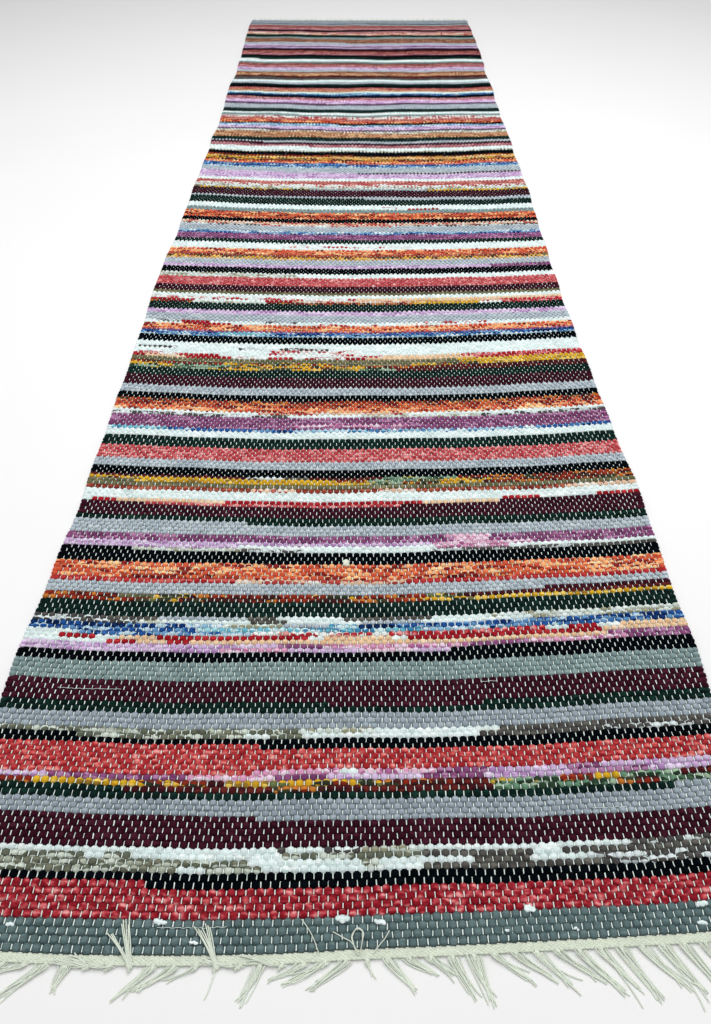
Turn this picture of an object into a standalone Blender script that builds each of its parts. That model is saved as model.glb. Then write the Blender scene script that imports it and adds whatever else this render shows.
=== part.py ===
"""Rag-woven runner rug with a cream heading and a knotted fringe at each end.

The rug lies flat. X runs across it, Y along it from the near end to the far one, and Z is up.
The origin is on the floor, under the middle of the striped field. Sizes are in metres.
"""

import math
from typing import NamedTuple

import bmesh
import bpy

# The striped field, woven of rag strips
FIELD_LENGTH = 2.935
FIELD_THICKNESS = 0.0062
FIELD_UNEVENNESS = 0.00035
FIELD_ROWS = 72
FIELD_COLUMNS = 8
SELVEDGE_ROUND = 0.0026
SELVEDGE_SCALLOP = 0.0011
END_ROUND = 0.0008

# The narrow heading, woven of the warp's own cotton
HEADING_DEPTH = 0.0085
HEADING_THICKNESS = 0.0036
HEADING_ROUND = 0.0010
HEADING_COLUMNS = 26

# The fringe: a row of knots with the warp ends hanging from it in tassels
TASSELS = 42
STRANDS_PER_TASSEL = 3
KNOT_WIDTH = 0.0072
KNOT_DEPTH = 0.0042
KNOT_HEIGHT = 0.0038
BARE_SHARE = 0.55
FRONT_SHARE = 0.68
STRAND_WIDTH = 0.0020
STRAND_HEIGHT = 0.0015
STRAND_TAPER = 0.8
STRAND_FAN = math.radians(4)
STRAND_STEPS = 2
FAR_REACH = 0.034
FAR_SWAY = 0.003

# Tassels that lie turned back over the heading, counted from the left
TURNED_BACK = (10, 13)
TURNED_STATIONS = (0.018, 0.034)
TURNED_SWEEP = -0.012
TURNED_FAN = 0.0045

# What touching pieces keep between them
PARTING = 0.0003


class Station(NamedTuple):
    """How far the selvedges lie from the middle line, at one place along the field."""

    along: float
    left: float
    right: float


class Bow(NamedTuple):
    """How far a pick's ends lie beyond its middle, towards the far end."""

    along: float
    left: float
    right: float


class Sweep(NamedTuple):
    """Where a tassel's tip lies from its knot: sideways, and out from the rug."""

    across: float
    sideways: float
    reach: float


class StripColumn(NamedTuple):
    """One line across the knot strip."""

    x: float
    share: float
    strand: tuple


OUTLINE = [
    Station(along=0.00, left=0.3760, right=0.3760),
    Station(along=0.30, left=0.3780, right=0.3785),
    Station(along=0.40, left=0.3725, right=0.3770),
    Station(along=0.50, left=0.3695, right=0.3800),
    Station(along=0.70, left=0.3710, right=0.3740),
    Station(along=0.90, left=0.3725, right=0.3710),
    Station(along=1.00, left=0.3755, right=0.3695),
    Station(along=1.10, left=0.3780, right=0.3710),
    Station(along=1.30, left=0.3725, right=0.3745),
    Station(along=1.50, left=0.3735, right=0.3800),
    Station(along=1.70, left=0.3710, right=0.3785),
    Station(along=1.80, left=0.3730, right=0.3820),
    Station(along=1.90, left=0.3690, right=0.3790),
    Station(along=2.10, left=0.3750, right=0.3810),
    Station(along=2.20, left=0.3790, right=0.3860),
    Station(along=2.30, left=0.3730, right=0.3810),
    Station(along=2.50, left=0.3775, right=0.3880),
    Station(along=2.70, left=0.3840, right=0.3880),
    Station(along=2.80, left=0.3880, right=0.3870),
    Station(along=FIELD_LENGTH, left=0.3870, right=0.3850),
]

BOWS = [
    Bow(along=0.00, left=-0.001, right=0.017),
    Bow(along=0.12, left=0.004, right=0.017),
    Bow(along=0.22, left=0.004, right=0.020),
    Bow(along=0.33, left=0.0055, right=0.023),
    Bow(along=0.45, left=0.009, right=0.020),
    Bow(along=0.66, left=0.011, right=0.022),
    Bow(along=0.86, left=0.013, right=0.025),
    Bow(along=1.00, left=0.014, right=0.021),
    Bow(along=1.20, left=0.014, right=0.018),
    Bow(along=1.48, left=0.021, right=0.014),
    Bow(along=1.62, left=0.02, right=0.022),
    Bow(along=1.84, left=0.019, right=0.015),
    Bow(along=2.02, left=0.019, right=0.022),
    Bow(along=2.26, left=0.01, right=0.010),
    Bow(along=2.62, left=0.012, right=0.008),
    Bow(along=2.78, left=0.012, right=0.013),
    Bow(along=FIELD_LENGTH, left=0.004, right=0.004),
]

NEAR_SWEEPS = [
    Sweep(across=-0.376, sideways=-0.018, reach=0.027),
    Sweep(across=-0.290, sideways=-0.028, reach=0.020),
    Sweep(across=-0.240, sideways=-0.026, reach=0.022),
    Sweep(across=-0.180, sideways=-0.029, reach=0.019),
    Sweep(across=-0.110, sideways=-0.026, reach=0.020),
    Sweep(across=-0.060, sideways=-0.027, reach=0.018),
    Sweep(across=-0.010, sideways=-0.027, reach=0.022),
    Sweep(across=0.025, sideways=0.019, reach=0.022),
    Sweep(across=0.065, sideways=0.016, reach=0.024),
    Sweep(across=0.095, sideways=0.013, reach=0.029),
    Sweep(across=0.130, sideways=0.027, reach=0.023),
    Sweep(across=0.180, sideways=0.030, reach=0.024),
    Sweep(across=0.230, sideways=0.028, reach=0.032),
    Sweep(across=0.290, sideways=0.026, reach=0.034),
    Sweep(across=0.376, sideways=0.014, reach=0.034),
]


def read_table(table, place):
    """The table's values at a place between two of its rows, eased from row to row."""
    before, after = table[0], table[-1]
    for low, high in zip(table, table[1:]):
        if low[0] <= place <= high[0]:
            before, after = low, high
            break
    gap = max(after[0] - before[0], 1e-9)
    share = min(max((place - before[0]) / gap, 0.0), 1.0)
    share = share * share * (3 - 2 * share)
    return [a + (b - a) * share for a, b in zip(before[1:], after[1:])]


def bow_lift(along, across):
    """How far a pick has moved towards the far end: a parabola through its middle and both ends."""
    left, right = read_table(OUTLINE, along)
    left_lift, right_lift = read_table(BOWS, along)
    share = across / (left if across < 0 else right)
    return (right_lift - left_lift) / 2 * share + (right_lift + left_lift) / 2 * share**2


def on_field(along, across):
    """The Y of a point that lies on the pick crossing the middle at this place."""
    return along - FIELD_LENGTH / 2 + bow_lift(along, across)


def sides_at(along, scallop):
    """Where the left and right selvedges lie, with their small scallops."""
    left, right = read_table(OUTLINE, along)
    ripple = SELVEDGE_SCALLOP * scallop
    return (
        -left + ripple * math.sin(along * 41.0),
        right + ripple * math.sin(along * 47.0 + 1.0),
    )


def make_material(name, colour, roughness):
    material = bpy.data.materials.new(name)
    material.use_nodes = True
    shader = material.node_tree.nodes["Principled BSDF"]
    shader.inputs["Base Color"].default_value = (*colour, 1.0)
    shader.inputs["Roughness"].default_value = roughness
    shader.inputs["Metallic"].default_value = 0.0
    return material


def make_object(name, bm, material):
    bmesh.ops.recalc_face_normals(bm, faces=bm.faces)
    mesh = bpy.data.meshes.new(name)
    bm.to_mesh(mesh)
    bm.free()
    mesh.materials.append(material)
    mesh.shade_smooth()
    mesh.set_sharp_from_angle(angle=math.radians(40))
    piece = bpy.data.objects.new(name, mesh)
    bpy.context.scene.collection.objects.link(piece)
    return piece


def layered_slab(columns, rows, place):
    """A flat-bottomed slab: a grid below, a grid above, and two loops round the rim between.

    place(across, along, layer) gives a point; across and along run from 0 to 1.
    """
    bm = bmesh.new()
    rim = [(column, 0) for column in range(columns)]
    rim += [(columns, row) for row in range(rows)]
    rim += [(column, rows) for column in range(columns, 0, -1)]
    rim += [(0, row) for row in range(rows, 0, -1)]

    def point(column, row, layer):
        return bm.verts.new(place(column / columns, row / rows, layer))

    lines = range(rows + 1)
    bottom = [[point(column, row, 0) for column in range(columns + 1)] for row in lines]
    top = [[point(column, row, 3) for column in range(columns + 1)] for row in lines]
    for row in range(rows):
        for column in range(columns):
            for grid in (bottom, top):
                near, far = grid[row], grid[row + 1]
                bm.faces.new((near[column], near[column + 1], far[column + 1], far[column]))
    loops = [[bottom[row][column] for column, row in rim]]
    loops += [[point(column, row, layer) for column, row in rim] for layer in (1, 2)]
    loops += [[top[row][column] for column, row in rim]]
    for low, high in zip(loops, loops[1:]):
        for number in range(len(rim)):
            after = (number + 1) % len(rim)
            bm.faces.new((low[number], low[after], high[after], high[number]))
    return bm


def rim_inset(share, size):
    """How far the rim draws in at one side of the slab: inwards is positive."""
    if share == 0.0:
        return size
    if share == 1.0:
        return -size
    return 0.0


def field(material):
    """The striped cloth: one slab with bowed ends and uneven, rounded selvedges."""
    draws = (0.7, 0.0, 0.0, 1.0)
    heights = (0.0, 0.30, 0.66, 1.0)

    def place(across, along, layer):
        distance = along * FIELD_LENGTH
        left, right = sides_at(distance, 1.0)
        x = left + (right - left) * across + rim_inset(across, SELVEDGE_ROUND * draws[layer])
        y = on_field(distance, x) + rim_inset(along, END_ROUND * draws[layer])
        height = FIELD_THICKNESS * heights[layer]
        if layer == 3:
            swell = math.sin(distance * 17.0 + x * 5.0) + math.sin(distance * 43.0 - x * 9.0)
            height += FIELD_UNEVENNESS * 0.5 * swell
        return x, y, height

    return make_object("rag_field", layered_slab(FIELD_COLUMNS, FIELD_ROWS, place), material)


def end_line(end, distance, across):
    """The Y at a distance beyond one end of the field; end is -1 near and 1 far."""
    along = 0.0 if end < 0 else FIELD_LENGTH
    return on_field(along, across) + end * distance


def heading(name, end, material):
    """The narrow cream band that locks the last rag pick."""
    draws = (0.7, 0.0, 0.0, 1.0)
    heights = (0.0, 0.30, 0.70, 1.0)
    left, right = sides_at(0.0 if end < 0 else FIELD_LENGTH, 0.0)

    def place(across, depth, layer):
        x = left + (right - left) * across + rim_inset(across, HEADING_ROUND * draws[layer])
        distance = PARTING + HEADING_DEPTH * depth + rim_inset(depth, HEADING_ROUND * draws[layer])
        return x, end_line(end, distance, x), HEADING_THICKNESS * heights[layer]

    return make_object(name, layered_slab(HEADING_COLUMNS, 2, place), material)


def strip_columns(end):
    """The knot strip's columns, left to right.

    Each is its X, its share of a knot's size, and the strand that leaves the cell on its
    right, as the tassel's number and the strand's number.
    """
    left, right = sides_at(0.0 if end < 0 else FIELD_LENGTH, 0.0)
    pitch = (right - left) / TASSELS
    columns = [StripColumn(left, BARE_SHARE, None)]
    for tassel in range(TASSELS):
        start = left + pitch * (tassel + 0.5) - KNOT_WIDTH / 2
        cell = KNOT_WIDTH / STRANDS_PER_TASSEL
        shares = (0.8, 1.0, 1.0)
        for strand, share in enumerate(shares):
            columns.append(StripColumn(start + strand * cell, share, (tassel, strand)))
        columns.append(StripColumn(start + KNOT_WIDTH, 0.8, None))
        columns.append(StripColumn(left + pitch * (tassel + 1), BARE_SHARE, None))
    return columns


def lying_sections(root, direction, length):
    """A strand's sections, from its knot to its tip: each rests on the floor, square to the rug."""
    sections = []
    for step in range(1, STRAND_STEPS + 1):
        share = step / STRAND_STEPS
        x, y = root[0] + direction[0] * length * share, root[1] + direction[1] * length * share
        size = 1.0 - (1.0 - STRAND_TAPER) * share
        half, tall = STRAND_WIDTH * size / 2, STRAND_HEIGHT * size
        low, high = x - half, x + half
        sections.append([(low, y, 0.0), (high, y, 0.0), (high, y, tall), (low, y, tall)])
    return sections


def turned_sections(root, end, strand):
    """A strand's sections when its tassel lies turned back over the heading."""
    rest = FIELD_THICKNESS + FIELD_UNEVENNESS + PARTING
    front = KNOT_HEIGHT * FRONT_SHARE
    outer_radius = (rest + STRAND_HEIGHT) / 2
    inner_radius = (rest - front) / 2
    spots = []
    for degrees in (-25.0, 35.0, 90.0):
        angle = math.radians(degrees)
        low = (outer_radius * math.cos(angle), outer_radius * (1 + math.sin(angle)))
        high = (inner_radius * math.cos(angle), front + inner_radius * (1 + math.sin(angle)))
        spots.append((low, high))
    for back in TURNED_STATIONS:
        spots.append(((-back, rest + STRAND_HEIGHT), (-back, rest)))
    sections = []
    for number, (low, high) in enumerate(spots):
        share = max(number - 2, 0) / len(TURNED_STATIONS)
        x = root[0] + TURNED_SWEEP * share + (strand - 1) * TURNED_FAN * share
        half = STRAND_WIDTH / 2
        lower = (root[1] + end * low[0], low[1])
        upper = (root[1] + end * high[0], high[1])
        sections.append([(x - half, *lower), (x + half, *lower), (x + half, *upper), (x - half, *upper)])
    return sections


def grow_strand(bm, ring, sections):
    """Joins a strand's sections, corner by corner, to the four corners of its root."""
    for section in sections:
        following = [bm.verts.new(spot) for spot in section]
        for corner in range(4):
            after = (corner + 1) % 4
            bm.faces.new((ring[corner], ring[after], following[after], following[corner]))
        ring = following
    bm.faces.new(ring)


def strand_sections(end, tassel, strand, root):
    """The sections of one strand, lying out from the rug or turned back over it."""
    if end < 0 and tassel in TURNED_BACK:
        return turned_sections(root, end, strand)
    sideways, reach = FAR_SWAY * math.sin(tassel * 1.9), FAR_REACH
    if end < 0:
        sideways, reach = read_table(NEAR_SWEEPS, root[0])
    angle = math.atan2(sideways, reach) + (strand - 1) * STRAND_FAN
    length = math.hypot(sideways, reach) * (1.0 + 0.05 * math.sin(tassel * 2.3 + strand))
    return lying_sections(root, (math.sin(angle), end * math.cos(angle)), length)


def fringe(name, end, material):
    """The knots of one end, fused in a narrow strip, with the strands that leave them."""
    bm = bmesh.new()
    start = PARTING * 2 + HEADING_DEPTH
    rings = []
    columns = strip_columns(end)
    for column in columns:
        depth, height = KNOT_DEPTH * column.share, KNOT_HEIGHT * column.share
        back = end_line(end, start, column.x)
        front = end_line(end, start + depth, column.x)
        ring = [(back, 0.0), (front, 0.0), (front, height * FRONT_SHARE), (back, height)]
        rings.append([bm.verts.new((column.x, *spot)) for spot in ring])
    for column, ring, following in zip(columns, rings, rings[1:]):
        for side in range(4):
            after = (side + 1) % 4
            cell = (ring[side], following[side], following[after], ring[after])
            if side == 1 and column.strand:
                middle = [(a + b) / 2 for a, b in zip(ring[1].co, following[1].co)]
                grow_strand(bm, cell, strand_sections(end, *column.strand, middle))
            else:
                bm.faces.new(cell)
    bm.faces.new(rings[0])
    bm.faces.new(rings[-1])
    return make_object(name, bm, material)


def main():
    for old in list(bpy.data.objects):
        bpy.data.objects.remove(old)
    rag = make_material("rag_cloth", (0.36, 0.30, 0.31), 0.92)
    cotton = make_material("warp_cotton", (0.80, 0.77, 0.66), 0.90)
    field(rag)
    heading("heading_near", -1, cotton)
    heading("heading_far", 1, cotton)
    fringe("fringe_near", -1, cotton)
    fringe("fringe_far", 1, cotton)


main()
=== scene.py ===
import math

import bmesh
import bpy
import numpy as np
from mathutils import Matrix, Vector


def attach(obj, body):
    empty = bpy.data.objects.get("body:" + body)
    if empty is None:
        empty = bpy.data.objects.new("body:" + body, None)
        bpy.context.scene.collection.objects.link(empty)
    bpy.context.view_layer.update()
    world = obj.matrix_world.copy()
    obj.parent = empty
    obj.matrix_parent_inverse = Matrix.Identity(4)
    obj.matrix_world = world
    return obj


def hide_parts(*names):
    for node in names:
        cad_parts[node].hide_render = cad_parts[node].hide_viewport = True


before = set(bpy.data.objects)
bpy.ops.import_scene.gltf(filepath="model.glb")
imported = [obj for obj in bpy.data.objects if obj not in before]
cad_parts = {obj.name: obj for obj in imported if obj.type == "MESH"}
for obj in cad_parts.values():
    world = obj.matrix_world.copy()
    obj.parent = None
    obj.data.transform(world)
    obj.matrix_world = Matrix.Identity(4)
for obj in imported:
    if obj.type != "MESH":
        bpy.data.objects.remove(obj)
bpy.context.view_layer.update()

scene = bpy.context.scene
dice = np.random.default_rng(41)
mm = 0.001

# the rug's plan, as the solids have it but for a heading that is 1 mm narrower
plan = {
    "length": 2.935,
    "headingDepth": 7.4 * mm,
    "tassels": 42,
    "warpPairs": 88,
}

# the photo's camera: how high it stands, how far before the rug, and its lens
view = {
    "height": 0.7063,
    "before": 0.1658,
    "tilt": 46.362,
    "roll": 0.2729,
    "lens": 25.98,
    "sensor": 36.0,
    "clip": (0.05, 50.0),
}

# along the rug, and how far the left and right selvedges lie from the middle line
outline = [
    (0.00, 0.3760, 0.3760), (0.30, 0.3780, 0.3785), (0.40, 0.3725, 0.3770),
    (0.50, 0.3695, 0.3800), (0.70, 0.3710, 0.3740), (0.90, 0.3725, 0.3710),
    (1.00, 0.3755, 0.3695), (1.10, 0.3780, 0.3710), (1.30, 0.3725, 0.3745),
    (1.50, 0.3735, 0.3800), (1.70, 0.3710, 0.3785), (1.80, 0.3730, 0.3820),
    (1.90, 0.3690, 0.3790), (2.10, 0.3750, 0.3810), (2.20, 0.3790, 0.3860),
    (2.30, 0.3730, 0.3810), (2.50, 0.3775, 0.3880), (2.70, 0.3840, 0.3880),
    (2.80, 0.3880, 0.3870), (2.935, 0.3870, 0.3850),
]

# along the rug, and how far a pick's left and right ends lie beyond its middle
bow = [
    (0.00, -0.001, 0.017), (0.12, 0.004, 0.017), (0.22, 0.004, 0.020), (0.33, 0.0055, 0.023),
    (0.45, 0.009, 0.020), (0.66, 0.011, 0.022), (0.86, 0.013, 0.025), (1.00, 0.014, 0.021),
    (1.20, 0.014, 0.018), (1.48, 0.021, 0.014), (1.62, 0.020, 0.022), (1.84, 0.019, 0.015),
    (2.02, 0.019, 0.022), (2.26, 0.010, 0.010), (2.62, 0.012, 0.008), (2.78, 0.012, 0.013),
    (2.935, 0.004, 0.004),
]

# across the rug in m, and how far the near edge sags there in mm; higher up the rug the sag ends
nearSag = [
    (-0.38, 2.5), (-0.305, 3.4), (-0.24, 5.3), (-0.155, 6.0),
    (-0.067, 5.3), (0.0, 2.8), (0.163, 0.9), (0.38, 0.0),
]
sagReach = 0.075

# how the picks wave: height in mm, then radians to the metre across and along the rug; the far ones grow
pickWaves = [(0.7, 19.0, 11.0), (0.45, 47.0, -23.0)]
farWaves = [(3.4, 16.0, 9.0), (2.0, 37.0, -17.0), (1.3, 8.0, 70.0)]
farGrowth = (1.0, 2.0)
calmEnd = 0.05  # how far from each end the waves die away
selvedgeWave = {"height": 1.1 * mm, "left": 41.0, "right": 47.0, "rightStart": 1.0}


def readRows(rows, place):  # eased from row to row
    for low, high in zip(rows, rows[1:]):
        if place <= high[0] or high is rows[-1]:
            share = min(max((place - low[0]) / (high[0] - low[0]), 0.0), 1.0)
            share = share * share * (3 - 2 * share)
            return [a + (b - a) * share for a, b in zip(low[1:], high[1:])]


def sidesAt(along):
    left, right = readRows(outline, along)
    leftWave = math.sin(along * selvedgeWave["left"])
    rightWave = math.sin(along * selvedgeWave["right"] + selvedgeWave["rightStart"])
    return -left + selvedgeWave["height"] * leftWave, right + selvedgeWave["height"] * rightWave


def wavesAt(rows, along, x):
    return sum(height * mm * np.sin(x * across + along * onward) for height, across, onward in rows)


def onField(along, x):  # the Y on the pick that crosses the middle at this place
    left, right = readRows(outline, along)
    leftLift, rightLift = readRows(bow, along)
    x = np.asarray(x, dtype=float)
    share = np.where(x < 0, x / left, x / right)
    lift = (rightLift - leftLift) / 2 * share + (rightLift + leftLift) / 2 * share ** 2
    calm = min(along, plan["length"] - along, calmEnd) / calmEnd
    farther = np.interp(along, farGrowth, (0.0, 1.0))
    farWave = wavesAt(farWaves, along, x) - wavesAt(farWaves, along, 0.0)
    wave = wavesAt(pickWaves, along, x) + farther * farWave
    sag = np.interp(x, *zip(*nearSag)) * mm * max(0.0, 1 - along / sagReach) ** 2
    return along - plan["length"] / 2 + lift + calm * wave - sag


def slopeAt(along, x):
    step = 2 * mm
    return (onField(along, x + step) - onField(along, x - step)) / (2 * step)


# each rag: its pick's depth in mm, how dark the shade painted into its beads' creases is, and its sRGB
# colours, the commonest first
# the colours of a soft one run together
rags = {
    "charcoal": {"pick": 6.2, "paintedCreaseShade": 0.6, "colours": [
        (99, 119, 120), (90, 110, 112), (107, 127, 128)]},
    "crimson": {"pick": 5.3, "soft": True, "colours": [
        (138, 28, 39), (166, 45, 56), (204, 92, 97), (234, 158, 157)]},
    "brightRed": {"pick": 5.4, "soft": True, "colours": [
        (162, 43, 49), (192, 63, 66), (218, 108, 105), (240, 168, 162)]},
    "black": {"pick": 5.9, "colours": [(4, 8, 13), (7, 12, 18), (3, 6, 10)]},
    "oliveCream": {"pick": 5.5, "colours": [
        (98, 103, 89), (206, 215, 203), (122, 124, 106), (170, 178, 162)]},
    "taupeWhite": {"pick": 5.5, "colours": [
        (86, 84, 82), (224, 234, 236), (74, 72, 72), (190, 200, 202)]},
    "taupe": {"pick": 5.5, "colours": [(88, 86, 82), (74, 72, 70), (104, 102, 96)]},
    "white": {"pick": 5.5, "paintedCreaseShade": 0.22, "colours": [
        (228, 242, 241), (216, 232, 231), (240, 248, 247)]},
    "whiteOlive": {"pick": 5.6, "colours": [
        (218, 230, 226), (156, 156, 132), (198, 206, 194), (230, 240, 236)]},
    "burgundy": {"pick": 6.3, "colours": [(59, 21, 35), (50, 17, 30), (70, 28, 43)]},
    "lightGrey": {"pick": 5.7, "paintedCreaseShade": 0.75, "colours": [
        (155, 167, 177), (145, 157, 167), (167, 179, 188)]},
    "paleGrey": {"pick": 6.0, "paintedCreaseShade": 0.8, "colours": [
        (181, 193, 202), (169, 182, 192), (196, 207, 214)]},
    "greenGrey": {"pick": 5.9, "paintedCreaseShade": 0.75, "colours": [
        (135, 157, 157), (124, 145, 146), (147, 168, 168)]},
    "darkGreen": {"pick": 6.4, "colours": [(17, 40, 36), (13, 31, 28), (24, 50, 44)]},
    "mustardPrint": {"pick": 6.0, "colours": [
        (214, 166, 44), (52, 58, 44), (132, 48, 34), (104, 112, 72), (236, 196, 90)]},
    "mustard": {"pick": 5.8, "colours": [
        (218, 174, 44), (198, 152, 38), (236, 204, 100), (150, 118, 48)]},
    "straw": {"pick": 5.8, "colours": [(224, 180, 112), (204, 156, 84), (238, 208, 156), (180, 128, 80)]},
    "rustPrint": {"pick": 5.8, "colours": [
        (134, 44, 30), (66, 34, 34), (196, 120, 52), (62, 66, 46), (160, 60, 40)]},
    "brown": {"pick": 5.8, "colours": [(82, 30, 33), (60, 25, 30), (104, 40, 36)]},
    "sage": {"pick": 5.8, "colours": [
        (104, 142, 116), (46, 66, 50), (160, 184, 158), (70, 100, 76), (196, 166, 70)]},
    "lilacPrint": {"pick": 5.6, "colours": [
        (206, 176, 216), (228, 210, 236), (176, 134, 186), (214, 190, 222)]},
    "pinkPrint": {"pick": 5.6, "colours": [
        (218, 156, 190), (238, 216, 232), (180, 106, 152), (230, 188, 210)]},
    "purple": {"pick": 5.8, "colours": [(140, 81, 125), (117, 63, 105), (180, 128, 168)]},
    "plum": {"pick": 5.6, "colours": [(96, 70, 98), (72, 52, 78), (132, 104, 134)]},
    "peach": {"pick": 5.5, "colours": [(234, 200, 162), (226, 188, 148), (241, 214, 182)]},
    "redBead": {"pick": 5.5, "colours": [(166, 32, 42), (144, 24, 34), (186, 52, 58)]},
    "redStreak": {"pick": 5.5, "soft": True, "colours": [
        (160, 30, 40), (192, 58, 64), (224, 128, 130), (240, 196, 196)]},
    "redWhite": {"pick": 5.6, "colours": [
        (230, 236, 234), (176, 52, 58), (238, 242, 240), (214, 150, 142)]},
    "redPeach": {"pick": 5.6, "colours": [
        (222, 186, 158), (178, 66, 62), (230, 228, 220), (234, 200, 172), (188, 102, 92)]},
    "bluePrint": {"pick": 5.6, "colours": [
        (38, 84, 152), (104, 152, 196), (20, 50, 106), (190, 216, 230), (60, 110, 172)]},
    "navy": {"pick": 5.6, "colours": [(20, 50, 100), (12, 34, 74), (36, 84, 150)]},
    "cyan": {"pick": 5.6, "colours": [(112, 184, 204), (210, 236, 240), (62, 132, 172), (160, 214, 224)]},
    "blueWhite": {"pick": 5.6, "colours": [
        (142, 186, 212), (218, 234, 240), (66, 120, 172), (180, 210, 226)]},
    "orangePrint": {"pick": 5.9, "colours": [
        (208, 88, 60), (248, 178, 122), (136, 42, 39), (230, 124, 82), (252, 212, 156)]},
    "emberPrint": {"pick": 5.9, "colours": [
        (166, 62, 44), (208, 104, 62), (110, 32, 32), (236, 156, 96), (84, 28, 32)]},
    "tanPrint": {"pick": 5.9, "colours": [
        (192, 140, 104), (222, 182, 140), (132, 82, 60), (180, 126, 92)]},
    "tanBrown": {"pick": 5.8, "colours": [(148, 100, 80), (118, 76, 62), (178, 134, 108)]},
    "coral": {"pick": 5.4, "soft": True, "colours": [
        (177, 62, 70), (201, 90, 95), (227, 140, 141), (246, 192, 189)]},
    "fadedCoral": {"pick": 5.6, "colours": [(190, 110, 104), (166, 80, 78), (214, 148, 138)]},
    "rose": {"pick": 5.4, "colours": [(180, 118, 126), (156, 92, 102), (210, 160, 164)]},
    "dullRed": {"pick": 5.6, "colours": [(160, 92, 86), (130, 66, 66), (186, 124, 110)]},
    "red": {"pick": 5.4, "colours": [(186, 56, 58), (160, 40, 46), (210, 96, 92)]},
    "rust": {"pick": 5.6, "colours": [(148, 64, 48), (174, 98, 74), (118, 46, 40)]},
    "olive": {"pick": 5.6, "colours": [(112, 110, 80), (98, 96, 68), (138, 132, 98)]},
}

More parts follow.
